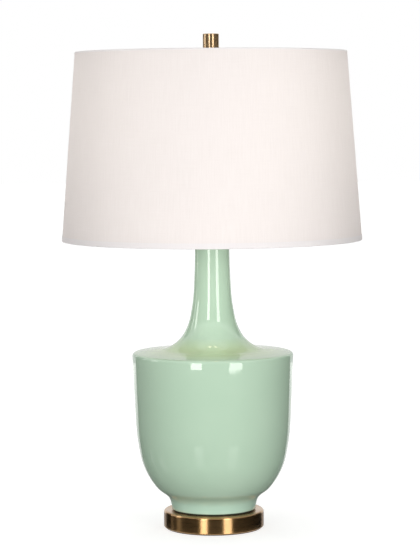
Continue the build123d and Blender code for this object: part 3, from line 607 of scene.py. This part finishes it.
@dataclass(frozen=True)
class Backing:
    """Smooth white styrene behind the linen, which glows when light falls on it."""

    name: str = "shade_backing"
    tone: Colour = (0.90, 0.885, 0.865)
    cloud: Colour = (0.86, 0.845, 0.82)
    roll_marks: float = 0.02 * MM
    through: float = 0.50

    def material(self) -> Material:
        """Build the backing.

        Returns:
            The material.
        """
        g = Graph(self.name)
        fog = g.noise(26.0, 3.0, 0.6)
        rolled = g.noise(1.0, vector=g.stretched((40.0, 40.0, 900.0)))
        return g.translucent({
            "Base Color": g.tint(fog, self.cloud, self.tone),
            "Roughness": g.spread(fog, 0.2, 0.42, 0.5),
            "Normal": g.bump(rolled, self.roll_marks, 0.5),
        }, self.through)


@dataclass(frozen=True)
class Felt:
    """Pressed wool felt under the base."""

    name: str = "felt"
    light: Colour = (0.085, 0.075, 0.066)
    dark: Colour = (0.035, 0.030, 0.027)
    nap: float = 0.3 * MM

    def material(self) -> Material:
        """Build the felt.

        Returns:
            The material.
        """
        g = Graph(self.name)
        fuzz = g.blend(g.noise(2400.0, 4.0, 0.7), 0.6, g.noise(260.0, 3.0, 0.6))
        return g.principled({
            "Base Color": g.tint(g.spread(fuzz, 0.15), self.dark, self.light),
            "Roughness": 0.97,
            "Specular IOR Level": 0.15,
            "Sheen Weight": 0.35,
            "Sheen Roughness": 0.6,
            "Normal": g.bump(fuzz, self.nap, 0.9),
        })


ANTIQUE_BRASS = Metal("antique_brass", (0.600, 0.370, 0.165), (0.500, 0.285, 0.108), 0.29,
                      0.001 * MM, 0.97, 0.50)
# Lighter copy of the antique brass for the finial, with finer brushing: the lighter colour is
# painted brighter light on the finial.
LIT_FINIAL_BRASS = Metal("lit_finial_brass", (0.730, 0.515, 0.300), (0.670, 0.460, 0.255), 0.25,
                     0.0004 * MM, 0.95, 0.30)
PLAIN_METALS = (
    Metal("polished_brass", (0.780, 0.600, 0.300), (0.640, 0.460, 0.200), 0.20, 0.006 * MM),
    Metal("steel", (0.62, 0.62, 0.62), (0.42, 0.42, 0.42), 0.32, 0.010 * MM),
    Metal("bare_aluminium", (0.83, 0.83, 0.83), (0.66, 0.66, 0.66), 0.28, 0.008 * MM),
    Metal("solder", (0.64, 0.64, 0.62), (0.45, 0.45, 0.44), 0.38, 0.030 * MM),
)
MOULDINGS = (
    Moulded("cast_iron", (0.16, 0.155, 0.15), (0.07, 0.068, 0.065), 0.75, 2.2 * MM, 0.35 * MM),
    Moulded("black_plastic", (0.030, 0.029, 0.028), (0.018, 0.017, 0.017), 0.38, 0.5 * MM,
            0.02 * MM),
    Moulded("gasket_rubber", (0.030, 0.029, 0.026), (0.016, 0.015, 0.014), 0.85, 0.7 * MM,
            0.06 * MM, 0.3),
    Moulded("switch_moulding", (0.050, 0.036, 0.030), (0.028, 0.020, 0.017), 0.24, 3.0 * MM,
            0.02 * MM),
    Moulded("socket_board", (0.46, 0.35, 0.24), (0.33, 0.24, 0.16), 0.82, 0.6 * MM, 0.05 * MM, 0.3),
    Moulded("white_wire", (0.87, 0.86, 0.84), (0.80, 0.79, 0.76), 0.34, 1.2 * MM, 0.02 * MM),
)
GLASSES = (
    Glass("frosted_glass", (0.95, 0.94, 0.91), (0.90, 0.89, 0.86), 0.22, 0.34),
    Glass("black_glass", (0.020, 0.019, 0.022), (0.032, 0.030, 0.034), 0.0, 0.16),
)


# ------------------------------------------------------------------ pieces
@dataclass
class GlazedBody:
    """Slip-cast bottle: its own smooth skin in place of the frame's facets."""

    foot_z: float = 25.8 * MM
    neck_z: float = 404.7 * MM
    foot_radius: float = 57.5 * MM
    foot_edge: float = 0.8 * MM
    foot_band: float = 4.8 * MM
    recess_radius: float = 47.5 * MM
    recess_depth: float = 5.0 * MM
    hole_radius: float = 7.0 * MM
    rim_radius: float = 109.5 * MM
    rim_height: float = 210.0 * MM
    rim_edge: float = 4.5 * MM
    slope: float = math.radians(5.5)
    neck_radius: float = 23.2 * MM
    lip: float = 1.5 * MM
    wall: float = 6.5 * MM
    floor: float = 8.0 * MM
    bend_reach: float = 0.375
    lower_end: float = 0.93
    upper_start: float = 0.06
    crease: float = 50.0
    steps: int = 144
    belly: list[Point] = field(default_factory=lambda: [
        (0.0, 0.0), (0.048, 0.042), (0.393, 0.125), (0.608, 0.204), (0.747, 0.283), (0.855, 0.405),
        (0.955, 0.726), (1.0, 1.0)])
    shoulder: list[Point] = field(default_factory=lambda: [
        (1.0, 0.0), (0.7205, 0.014), (0.5245, 0.027), (0.392, 0.057), (0.2328, 0.128),
        (0.126, 0.228), (0.059, 0.373), (0.011, 0.676), (0.0, 1.0)])

    def belly_line(self) -> list[Point]:
        """Outer line from the foot band up to the middle of the rim."""
        low, high = self.foot_z + self.foot_band, self.foot_z + self.rim_height
        return smooth_line(scaled(self.belly, (self.foot_radius, low), (self.rim_radius, high)), 7)

    def shoulder_line(self) -> tuple[list[Point], list[Point]]:
        """Outer line above the rim.

        Returns:
            The rim's round edge, and the line from there up to the neck's lip.
        """
        centre = (self.rim_radius - self.rim_edge, self.foot_z + self.rim_height)
        edge = arc(centre, self.rim_edge, math.pi / 2 - self.slope, 8)
        low, high = (self.neck_radius, edge[-1][1]), (edge[-1][0], self.neck_z - self.lip)
        return edge[:-1], smooth_line(scaled(self.shoulder, low, high), 8)

    def cavity_line(self, belly: list[Point], shoulder: list[Point],
                    floor_z: float) -> list[Point]:
        """Inner line from the floor up to the mouth, with an easy bend inside the rim.

        Args:
            belly: Outer line below the rim.
            shoulder: Outer line above the rim's round edge.
            floor_z: Height of the cavity's floor.

        Returns:
            The points, from the floor to just under the mouth.
        """
        lower = part_of(moved_in(belly, self.wall), 0.0, self.lower_end)
        upper = part_of(moved_in(shoulder, self.wall), self.upper_start, 1.0)
        before, start, end, after = (Vector((*p, 0)) for p in (*lower[-2:], *upper[:2]))
        reach = (end - start).length * self.bend_reach
        up, back = (start - before).normalized() * reach, (after - end).normalized() * reach
        curve = geometry.interpolate_bezier(start, start + up, end - back, end, 12)
        bend = [(p.x, p.y) for p in curve[1:-1]]
        line = [*lower[::-3][::-1], *bend, *upper[::3]]
        return [p for p in line if floor_z + self.wall < p[1] < self.neck_z - self.wall]

    def section(self) -> list[Point]:
        """Whole half section of the clay.

        Returns:
            Its points, up the outside and down the inside.
        """
        belly, (edge, shoulder) = self.belly_line(), self.shoulder_line()
        centre = (self.neck_radius - self.lip, self.neck_z - self.lip)
        floor_z = self.foot_z + self.recess_depth + self.floor
        mouth = self.neck_radius - self.wall
        inside = self.cavity_line(belly, shoulder, floor_z)[::-1]
        return [
            (self.foot_radius - self.foot_edge, self.foot_z),
            (self.foot_radius, self.foot_z + self.foot_edge),
            *belly, *edge, *shoulder,
            *arc(centre, self.lip, math.pi / 2, 4),
            (mouth, self.neck_z),
            *inside,
            (inside[-1][0] - self.wall, floor_z),
            (self.hole_radius, floor_z),
            (self.hole_radius, self.foot_z + self.recess_depth),
            (self.recess_radius, self.foot_z + self.recess_depth),
            (self.recess_radius, self.foot_z),
        ]

    def build(self, glaze: Material) -> None:
        """Spin and glaze the body."""
        piece = finished(lathe(self.section(), self.steps), "glazed_body", glaze, self.crease)
        place(piece, Body.STAND, "celadon_glaze", "ceramic_body")


@dataclass
class LinenShade:
    """Drum shade: linen cover, hems and the lap seam at the back.

    The bottom hem is rolled up the face, round the ring wire and up the backing. The top one is
    folded over the edge and down beside the ring. Both lines are (depth, way from their edge) in
    millimetres.
    """

    bottom_radius: float = 203.2 * MM
    top_radius: float = 183.3 * MM
    bottom_z: float = 392.6 * MM
    top_z: float = 646.3 * MM
    cover_depth: float = 0.45 * MM
    cloth: float = 0.55 * MM
    trim: float = 0.4 * MM
    inner_leg: float = 4.9 * MM
    seam_width: float = 13.0 * MM
    seam_depth: float = 0.28 * MM
    seam_cloth: float = 0.3 * MM
    seam_top: float = 2.1 * MM
    seam_tuck: float = 0.98
    rolled: list[Point] = field(default_factory=lambda: [
        (0.2, 7.5), (0.2, 5.2), (0.2, 3.2), (0.2, 1.5), (0.32, 0.75), (0.7, 0.3), (1.4, 0.2),
        (3.6, 0.2), (4.45, 0.42), (4.88, 0.9), (5.0, 1.7), (5.0, 2.5), (4.8, 3.15), (4.3, 3.55),
        (3.4, 3.7), (2.4, 3.72), (2.02, 3.95), (1.95, 4.6), (1.95, 8.0)])
    folded: list[Point] = field(default_factory=lambda: [
        (0.2, 2.2), (0.2, 1.0), (0.32, 0.45), (0.75, 0.2), (2.6, 0.2), (4.4, 0.2), (4.85, 0.42),
        (5.0, 0.95), (5.0, 2.4)])
    steps: int = 180
    rows: int = 22
    arms: int = 3
    flat_width: float = 1.28
    flat_length: float = 0.322
    flat_area: float = 0.315

    def __post_init__(self) -> None:
        """Work out the wall's slope."""
        drop, rise = self.bottom_radius - self.top_radius, self.top_z - self.bottom_z
        self.slant = math.hypot(drop, rise)
        self.lean, self.rise = drop / self.slant, rise / self.slant

    def spot(self, depth: float, along: float) -> Point:
        """(Radius, height) of a point by its depth inside the face and its way up the slope."""
        return (self.bottom_radius - self.lean * along - self.rise * depth,
                self.bottom_z + self.rise * along - self.lean * depth)

    def build(self, linen: Material) -> None:
        """Build the cover, its hems and its seam.

        Args:
            linen: The cover's cloth.
        """
        trim = Linen("trim_linen", (0.890, 0.868, 0.876), (0.845, 0.824, 0.832)).material()
        cover = self.cover(linen)
        top = [(depth, self.slant / MM - down) for depth, down in self.folded]
        hems = [self.hem(self.rolled, "bottom_hem", trim, "shade_bottom_trim", 0.0, False),
                self.hem(top, "top_hem", trim, "shade_top_trim", math.pi / self.steps, True),
                self.seam(linen)]

    def cover(self, linen: Material) -> Piece:
        """Linen laminated round the backing.

        Args:
            linen: Its cloth.

        Returns:
            The cover.
        """
        low, high = self.cover_depth, self.slant - self.cover_depth
        outside = [(self.cover_depth, low + (high - low) * i / self.rows)
                   for i in range(self.rows + 1)]
        inside = [(self.cover_depth + self.cloth, along) for _, along in reversed(outside)]
        bm = lathe([self.spot(*p) for p in outside + inside], self.steps)
        wrap_map(bm, self.bottom_radius)
        return place(finished(bm, "linen_cover", linen), Body.SHADE, "white_linen", "shade_fabric")

    def hem(self, line: list[Point], name: str, linen: Material, node: str, start: float,
            notched: bool) -> Piece:
        """Folded strip of cloth along an edge of the shade.

        Args:
            line: Middle of the strip's thickness, as (depth, along) in millimetres.
            name: The piece's name.
            linen: Its cloth.
            node: CAD node that it replaces.
            start: Angle where the line stands.
            notched: Whether the arms of the spider pass through its inner leg.

        Returns:
            The hem.
        """
        spots = [self.spot(depth * MM, along * MM) for depth, along in line]
        bm = lathe(spots, self.steps, closed=False, start=start)
        wrap_map(bm, self.bottom_radius)
        if notched:
            inside = self.spot(self.inner_leg, self.slant)[0]
            part = FULL_TURN / self.arms
            doomed = []
            for face in bm.faces:
                middle = face.calc_center_median()
                turn = math.atan2(middle.y, middle.x) % part - math.pi / 2 % part
                if math.hypot(middle.x, middle.y) < inside and abs(turn) < math.pi / self.steps:
                    doomed.append(face)
            bmesh.ops.delete(bm, geom=doomed, context="FACES")
        piece = finished(bm, name, linen, 70.0)
        wall = piece.modifiers.new("cloth", "SOLIDIFY")
        wall.thickness, wall.offset = self.trim, 0.0
        return place(piece, Body.SHADE, "white_linen", node)

    def seam(self, linen: Material) -> Piece:
        """Lap of the cloth at the back, which stands proud by its own thickness.

        Args:
            linen: Its cloth.

        Returns:
            The lap.
        """
        half = self.seam_width / 2 / self.bottom_radius
        start = math.pi / 2 - half
        bm = bmesh.new()
        corners = []
        low = self.rolled[0][1] * MM * self.seam_tuck
        for along in (low, self.slant - self.seam_top):
            radius, z = self.spot(self.seam_depth, along)
            spot = (radius * math.cos(start), radius * math.sin(start), z)
            corners.append(bm.verts.new(spot))
        bmesh.ops.subdivide_edges(bm, edges=[bm.edges.new(corners)], cuts=15)
        bmesh.ops.spin(bm, geom=bm.verts[:] + bm.edges[:], cent=AXIS_POINT, axis=UP,
                       angle=2 * half, steps=6)
        bmesh.ops.recalc_face_normals(bm, faces=bm.faces)
        wrap_map(bm, self.bottom_radius)
        piece = finished(bm, "back_seam", linen)
        wall = piece.modifiers.new("cloth", "SOLIDIFY")
        wall.thickness, wall.offset = self.seam_cloth, 0.0
        return place(piece, Body.SHADE, "white_linen")


@dataclass
class FeltPad:
    """Round felt pad with a soft cut edge under the base."""

    radius: float = 65.7 * MM
    thickness: float = 1.5 * MM
    edge: float = 0.35 * MM
    steps: int = 96

    def build(self, felt: Material) -> None:
        """Cut the pad.

        Args:
            felt: Its cloth.
        """
        bm = bmesh.new()
        bmesh.ops.create_circle(bm, cap_ends=True, cap_tris=False, segments=self.steps,
                                radius=self.radius)
        new = bmesh.ops.extrude_face_region(bm, geom=bm.faces[:])["geom"]
        top = [v for v in new if isinstance(v, bmesh.types.BMVert)]
        bmesh.ops.translate(bm, verts=top, vec=(0, 0, self.thickness))
        rims = [e for e in bm.edges if abs(e.verts[0].co.z - e.verts[1].co.z) < MERGE]
        bmesh.ops.bevel(bm, geom=rims, offset=self.edge, offset_type="OFFSET", affect="EDGES",
                        segments=2, profile=0.5, material=-1)
        bmesh.ops.recalc_face_normals(bm, faces=bm.faces)
        piece = place(finished(bm, "felt_disc", felt), Body.STAND, "felt", "felt_pad")


@dataclass
class BulbCap:
    """Rolled screw cap of the bulb."""

    radius: float = 13.0 * MM
    root: float = 12.45 * MM
    lip: float = 5.0 * MM
    low: float = 465.7 * MM
    length: float = 21.0 * MM
    thread: float = 15.0 * MM
    pitch: float = 3.63 * MM
    waves: int = 8
    band: float = 1.2 * MM
    turned_edge: Point = (0.2 * MM, 0.3 * MM)
    collar: float = 0.1 * MM
    sheet: float = 0.25 * MM
    steps: int = 48

    def build(self, aluminium: Material) -> None:
        """Roll the thread and close the ends.

        Args:
            aluminium: Its metal.
        """
        count = int(self.thread / self.pitch * self.waves) + 2 * self.waves
        middle, swing = (self.radius + self.root) / 2, (self.radius - self.root) / 2
        low = self.low + self.band
        high = low + self.thread
        line = [(middle + swing * math.cos(FULL_TURN * i / self.waves),
                 low + self.pitch * (i / self.waves - 1)) for i in range(count + 1)]
        bm = lathe(line, self.steps, closed=False, lift=self.pitch)
        for z, out in ((low, -1), (high, 1)):
            bmesh.ops.bisect_plane(bm, geom=bm.verts[:] + bm.edges[:] + bm.faces[:],
                                   plane_co=(0, 0, z), plane_no=(0, 0, out), clear_outer=True)
        edge_in, edge_up = self.turned_edge
        under = [(self.radius - edge_in, self.low + edge_up), (self.radius - self.lip, self.low)]
        above = [(self.radius - self.collar, self.low + self.length)]
        for z, stops in ((low, under), (high, above)):
            rim = [e for e in bm.edges
                   if len(e.link_faces) == 1 and all(abs(v.co.z - z) < MERGE for v in e.verts)]
            for radius, height in stops:
                new = bmesh.ops.extrude_edge_only(bm, edges=rim)["geom"]
                rim = [e for e in new
                       if isinstance(e, bmesh.types.BMEdge) and len(e.link_faces) == 1]
                for vert in {v for e in rim for v in e.verts}:
                    scale = radius / math.hypot(vert.co.x, vert.co.y)
                    vert.co = (vert.co.x * scale, vert.co.y * scale, height)
        bmesh.ops.remove_doubles(bm, verts=bm.verts, dist=MERGE)
        bmesh.ops.recalc_face_normals(bm, faces=bm.faces)
        piece = finished(bm, "rolled_screw_cap", aluminium, 60.0)
        wall = piece.modifiers.new("sheet", "SOLIDIFY")
        wall.thickness, wall.offset = self.sheet, -1.0
        place(piece, Body.BULB, "bare_aluminium", "bulb_screw_cap")


@dataclass
class Welds:
    """Small beads where the spider's arms meet the top ring and the washer."""

    arms: int = 3
    ring_radius: float = 180.0 * MM
    ring_z: float = 644.1 * MM
    washer_radius: float = 12.2 * MM
    washer_z: float = 632.7 * MM
    bead: float = 2.1 * MM
    ripple: float = 0.2 * MM
    ripple_rate: float = 900.0

    def build(self, brass: Material) -> None:
        """Set a flattened bead at each end of each arm.

        Args:
            brass: The plating that covers them.
        """
        bm = bmesh.new()
        for i in range(self.arms):
            angle = math.radians(90 + 360 * i / self.arms)
            for radius, z, wide in ((self.ring_radius, self.ring_z, 1.0),
                                    (self.washer_radius, self.washer_z, 0.8)):
                spot = Matrix.Rotation(angle, 4, "Z") @ Matrix.Translation((radius, 0, z))
                shape = spot @ Matrix.Diagonal(
                    (self.bead * 1.1, self.bead * wide, self.bead * 0.72, 1.0))
                bmesh.ops.create_icosphere(bm, subdivisions=3, radius=1.0, matrix=shape)
        for vert in bm.verts:
            vert.co += vert.normal * noise.noise(vert.co * self.ripple_rate) * self.ripple
        place(finished(bm, "spider_welds", brass, 80.0), Body.SHADE, "polished_brass")


@dataclass
class Frame:
    """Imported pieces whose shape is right, which only get their finishes."""

    finishes: tuple = (ANTIQUE_BRASS, *PLAIN_METALS, *MOULDINGS, *GLASSES, Backing(), Felt(),
                       Glaze(), Linen())
    # Nodes that get the lighter brass, which is painted brighter light.
    lit_brass: tuple[str, ...] = ("finial",)

    def build(self) -> dict[str, Material]:
        """Dress every node of the frame.

        Returns:
            The materials by slot name.
        """
        made = {finish.name: finish.material() for finish in self.finishes}
        slots = {part["node"]: part["material_slot"] for part in frame["record"]["subparts"]}
        lit_brass = LIT_FINIAL_BRASS.material()
        for name, node in frame["nodes"].items():
            for slot in node.material_slots:
                slot.material = lit_brass if name in self.lit_brass else made[slots[name]]
            LOG.info("%s: %s", name, slots[name])
        return made


# ------------------------------------------------------------------ studio
def hang(light: bpy.types.Light, matrix: Matrix, mirrored: bool) -> None:
    """Hang a light where the camera doesn't see it.

    Args:
        light: The light.
        matrix: Its place.
        mirrored: Whether gloss and metal show it.
    """
    lamp = bpy.data.objects.new(light.name, light)
    lamp.matrix_world = matrix
    lamp.visible_camera = False
    lamp.visible_glossy = mirrored
    bpy.context.scene.collection.objects.link(lamp)


@dataclass(frozen=True)
class Softbox:
    """Rectangular light that faces the lamp's axis, and may recline, with its foot at its distance.

    Its radiance is that straight ahead, also with a grid.
    """

    name: str
    azimuth: float
    distance: float
    width: float
    low: float
    high: float
    radiance: float
    lean: float = 0.0
    recline: float = 0.0
    grid: float = OPEN_ANGLE
    mirrored: bool = True
    colour: Colour = DAYLIGHT

    def build(self) -> None:
        """Hang the light."""
        light = bpy.data.lights.new(self.name, "AREA")
        light.shape = "RECTANGLE"
        back, half = math.radians(self.recline), math.radians(self.grid) / 2
        tall = self.high - self.low
        light.size, light.size_y = self.width, tall / math.cos(back)
        gain = math.tan(half) / (math.tan(half) - half) if self.grid < OPEN_ANGLE else 1.0
        light.energy = math.pi * self.radiance * light.size * light.size_y / gain
        light.color = self.colour
        light.spread = 2 * half
        angle = math.radians(self.azimuth)
        reach = self.distance + tall / 2 * math.tan(back)
        spot = Vector((math.sin(angle), -math.cos(angle), 0)) * reach
        facing = (-spot).to_track_quat("-Z", "Y").to_matrix().to_4x4()
        turn = Matrix.Rotation(math.radians(self.lean), 4, "Z") @ Matrix.Rotation(back, 4, "X")
        spot.z = (self.low + self.high) / 2
        hang(light, Matrix.Translation(spot) @ facing @ turn, self.mirrored)


@dataclass(frozen=True)
class Glow:
    """Round light that shines down the lamp's axis, for what comes through the shade and off it."""

    name: str
    height: float
    radius: float
    radiance: float
    mirrored: bool = False
    colour: Colour = WARM

    def build(self) -> None:
        """Hang the light on the lamp's axis."""
        light = bpy.data.lights.new(self.name, "AREA")
        light.shape = "DISK"
        light.size = 2 * self.radius
        light.energy = math.pi * self.radiance * math.pi * self.radius ** 2
        light.color = self.colour
        hang(light, Matrix.Translation((0.0, 0.0, self.height)), self.mirrored)


@dataclass(frozen=True)
class Flag:
    """Black card in front of the lamp or on the floor, out of view, that gloss and metal show."""

    name: str
    start: Point
    end: Point
    gloss: float = 1.0
    half_angle: float = math.radians(142.0)
    light: Colour = (0.016, 0.016, 0.016)
    dark: Colour = (0.010, 0.010, 0.010)
    steps: int = 48

    def build(self) -> None:
        """Bend the card round the lamp, from one (radius, height) to the other."""
        g = Graph(self.name)
        black = g.principled({"Base Color": g.tint(g.noise(30.0), self.dark, self.light),
                              "Roughness": self.gloss, "IOR": 1.5})
        angle = -math.pi / 2 - self.half_angle
        bm = bmesh.new()
        verts = [bm.verts.new((r * math.cos(angle), r * math.sin(angle), z))
                 for r, z in (self.start, self.end)]
        bmesh.ops.spin(bm, geom=verts + [bm.edges.new(verts)], cent=AXIS_POINT, axis=UP,
                       angle=2 * self.half_angle, steps=self.steps)
        card = finished(bm, self.name, black)
        card.visible_camera = card.visible_diffuse = False
        card.visible_shadow = card.visible_transmission = False


@dataclass
class Studio:
    """Pale floor, soft boxes, white surroundings and the camera."""

    ambient: float = 0.24
    floor_size: float = 14.0
    floor_tone: Colour = (0.46, 0.46, 0.46)
    floor_near: Point = (0.25, 0.70)
    floor_far: Point = (1.6, 1.0)
    mirror_tone: float = 0.78
    boxes: list[Softbox] = field(default_factory=lambda: [
        Softbox("left_box", -22.4, 1.15, 0.310, 0.030, 0.82, 7.1, lean=-0.5, recline=20.0),
        Softbox("right_box", 30.8, 1.15, 0.380, 0.022, 0.91, 5.9, lean=1.0, recline=20.0),
        Softbox("side_box", -91.0, 1.25, 0.25, 0.41, 0.89, 4.3),
        Softbox("far_side_box", -113.0, 1.30, 0.09, 0.30, 0.80, 4.0),
        Softbox("front_fill", 2.0, 1.60, 1.30, 0.0, 0.60, 3.4, mirrored=False),
        Softbox("back_left_fill", -150.0, 1.80, 1.00, 0.05, 0.95, 4.0, mirrored=False),
        Softbox("back_right_fill", 150.0, 1.80, 1.00, 0.05, 0.95, 4.0, mirrored=False),
        Softbox("shade_left_box", -80.0, 1.30, 0.60, 0.50, 0.66, 32.0, grid=28.0, mirrored=False,
                colour=WARM),
        Softbox("shade_right_box", 80.0, 1.30, 0.60, 0.50, 0.66, 40.0, grid=28.0, mirrored=False,
                colour=WARM),
    ])
    glows: list[Glow] = field(default_factory=lambda: [
        Glow("top_fill", 1.90, 0.55, 2.0, colour=DAYLIGHT),
        Glow("shade_glow", 0.455, 0.165, 0.45),
        Glow("bulb_glow", 0.498, 0.028, 9.0, True, (1.0, 0.88, 0.66)),
    ])
    flags: list[Flag] = field(default_factory=lambda: [
        Flag("back_flag", (2.60, 0.0), (2.60, 1.45)),
        Flag("floor_mirror", (0.40, 0.5 * MM), (0.072, 0.5 * MM), gloss=0.10),
        Flag("floor_flag", (2.60, 0.5 * MM), (0.40, 0.5 * MM)),
    ])
    lens: float = 139.84
    sensor: float = 36.0
    clip: Point = (0.1, 60.0)
    eye: Triple = (-0.0032, -2.940, 0.5677)
    aim_z: float = 0.3381
    roll: float = math.radians(-0.38)

    def build(self) -> None:
        """Set the whole studio."""
        self.floor()
        self.surroundings()
        for piece in (*self.boxes, *self.glows, *self.flags):
            piece.build()
        self.camera()
        bpy.context.scene.view_settings.view_transform = "Standard"

    def seen(self, g: Graph) -> Socket:
        """How white the room is to a ray: full to the camera, dimmer in gloss and glass, else 0.

        Args:
            g: Graph of the floor or the room.

        Returns:
            The share's socket.
        """
        path = g.add("LightPath").outputs
        mirrored = g.math("MAXIMUM", path["Is Glossy Ray"], path["Is Transmission Ray"])
        dimmed = g.math("MULTIPLY", mirrored, self.mirror_tone)
        return g.math("MAXIMUM", path["Is Camera Ray"], dimmed)

    def floor(self) -> None:
        """Wide floor that shows white and keeps the lamp's shadow."""
        g = Graph("floor")
        (near, near_tone), (far, far_tone) = self.floor_near, self.floor_far
        tone = g.between(g.length(g.place()), near, far, near_tone, far_tone)
        glow = g.math("MULTIPLY", tone, self.seen(g))
        lit = g.add("Emission", {"Color": WHITE, "Strength": glow})
        paint = g.add("BsdfDiffuse", {"Color": self.floor_tone})
        white = g.close(g.add("AddShader", {0: lit.outputs[0], 1: paint.outputs[0]}))
        bm = bmesh.new()
        bmesh.ops.create_grid(bm, x_segments=1, y_segments=1, size=self.floor_size)
        finished(bm, "floor", white)

    def surroundings(self) -> None:
        """White room: full white where it is seen, softer where it lights the lamp."""
        g = Graph("room", world=True)
        strength = g.math("MULTIPLY_ADD", self.seen(g), 1.0 - self.ambient, self.ambient)
        back = g.add("Background", {"Color": WHITE, "Strength": strength})
        bpy.context.scene.world = g.close(back)

    def camera(self) -> None:
        """Camera at the photograph's height, distance and slight roll."""
        data = bpy.data.cameras.new("camera")
        data.lens, data.sensor_width = self.lens, self.sensor
        data.clip_start, data.clip_end = self.clip
        camera = bpy.data.objects.new("camera", data)
        eye = Vector(self.eye)
        aim = Vector((eye.x, 0.0, self.aim_z))
        facing = (aim - eye).to_track_quat("-Z", "Y").to_matrix().to_4x4()
        camera.matrix_world = Matrix.Translation(eye) @ facing @ Matrix.Rotation(self.roll, 4, "Z")
        bpy.context.scene.collection.objects.link(camera)
        bpy.context.scene.camera = camera


def main() -> None:
    """Build the lamp's pieces in order, then the studio."""
    logging.basicConfig(level=logging.INFO, format="%(message)s")
    made = Frame().build()
    GlazedBody().build(made["celadon_glaze"])
    LinenShade().build(made["white_linen"])
    FeltPad().build(made["felt"])
    BulbCap().build(made["bare_aluminium"])
    Welds().build(made["polished_brass"])
    Studio().build()
    bpy.context.view_layer.update()


if __name__ == "__main__":
    main()
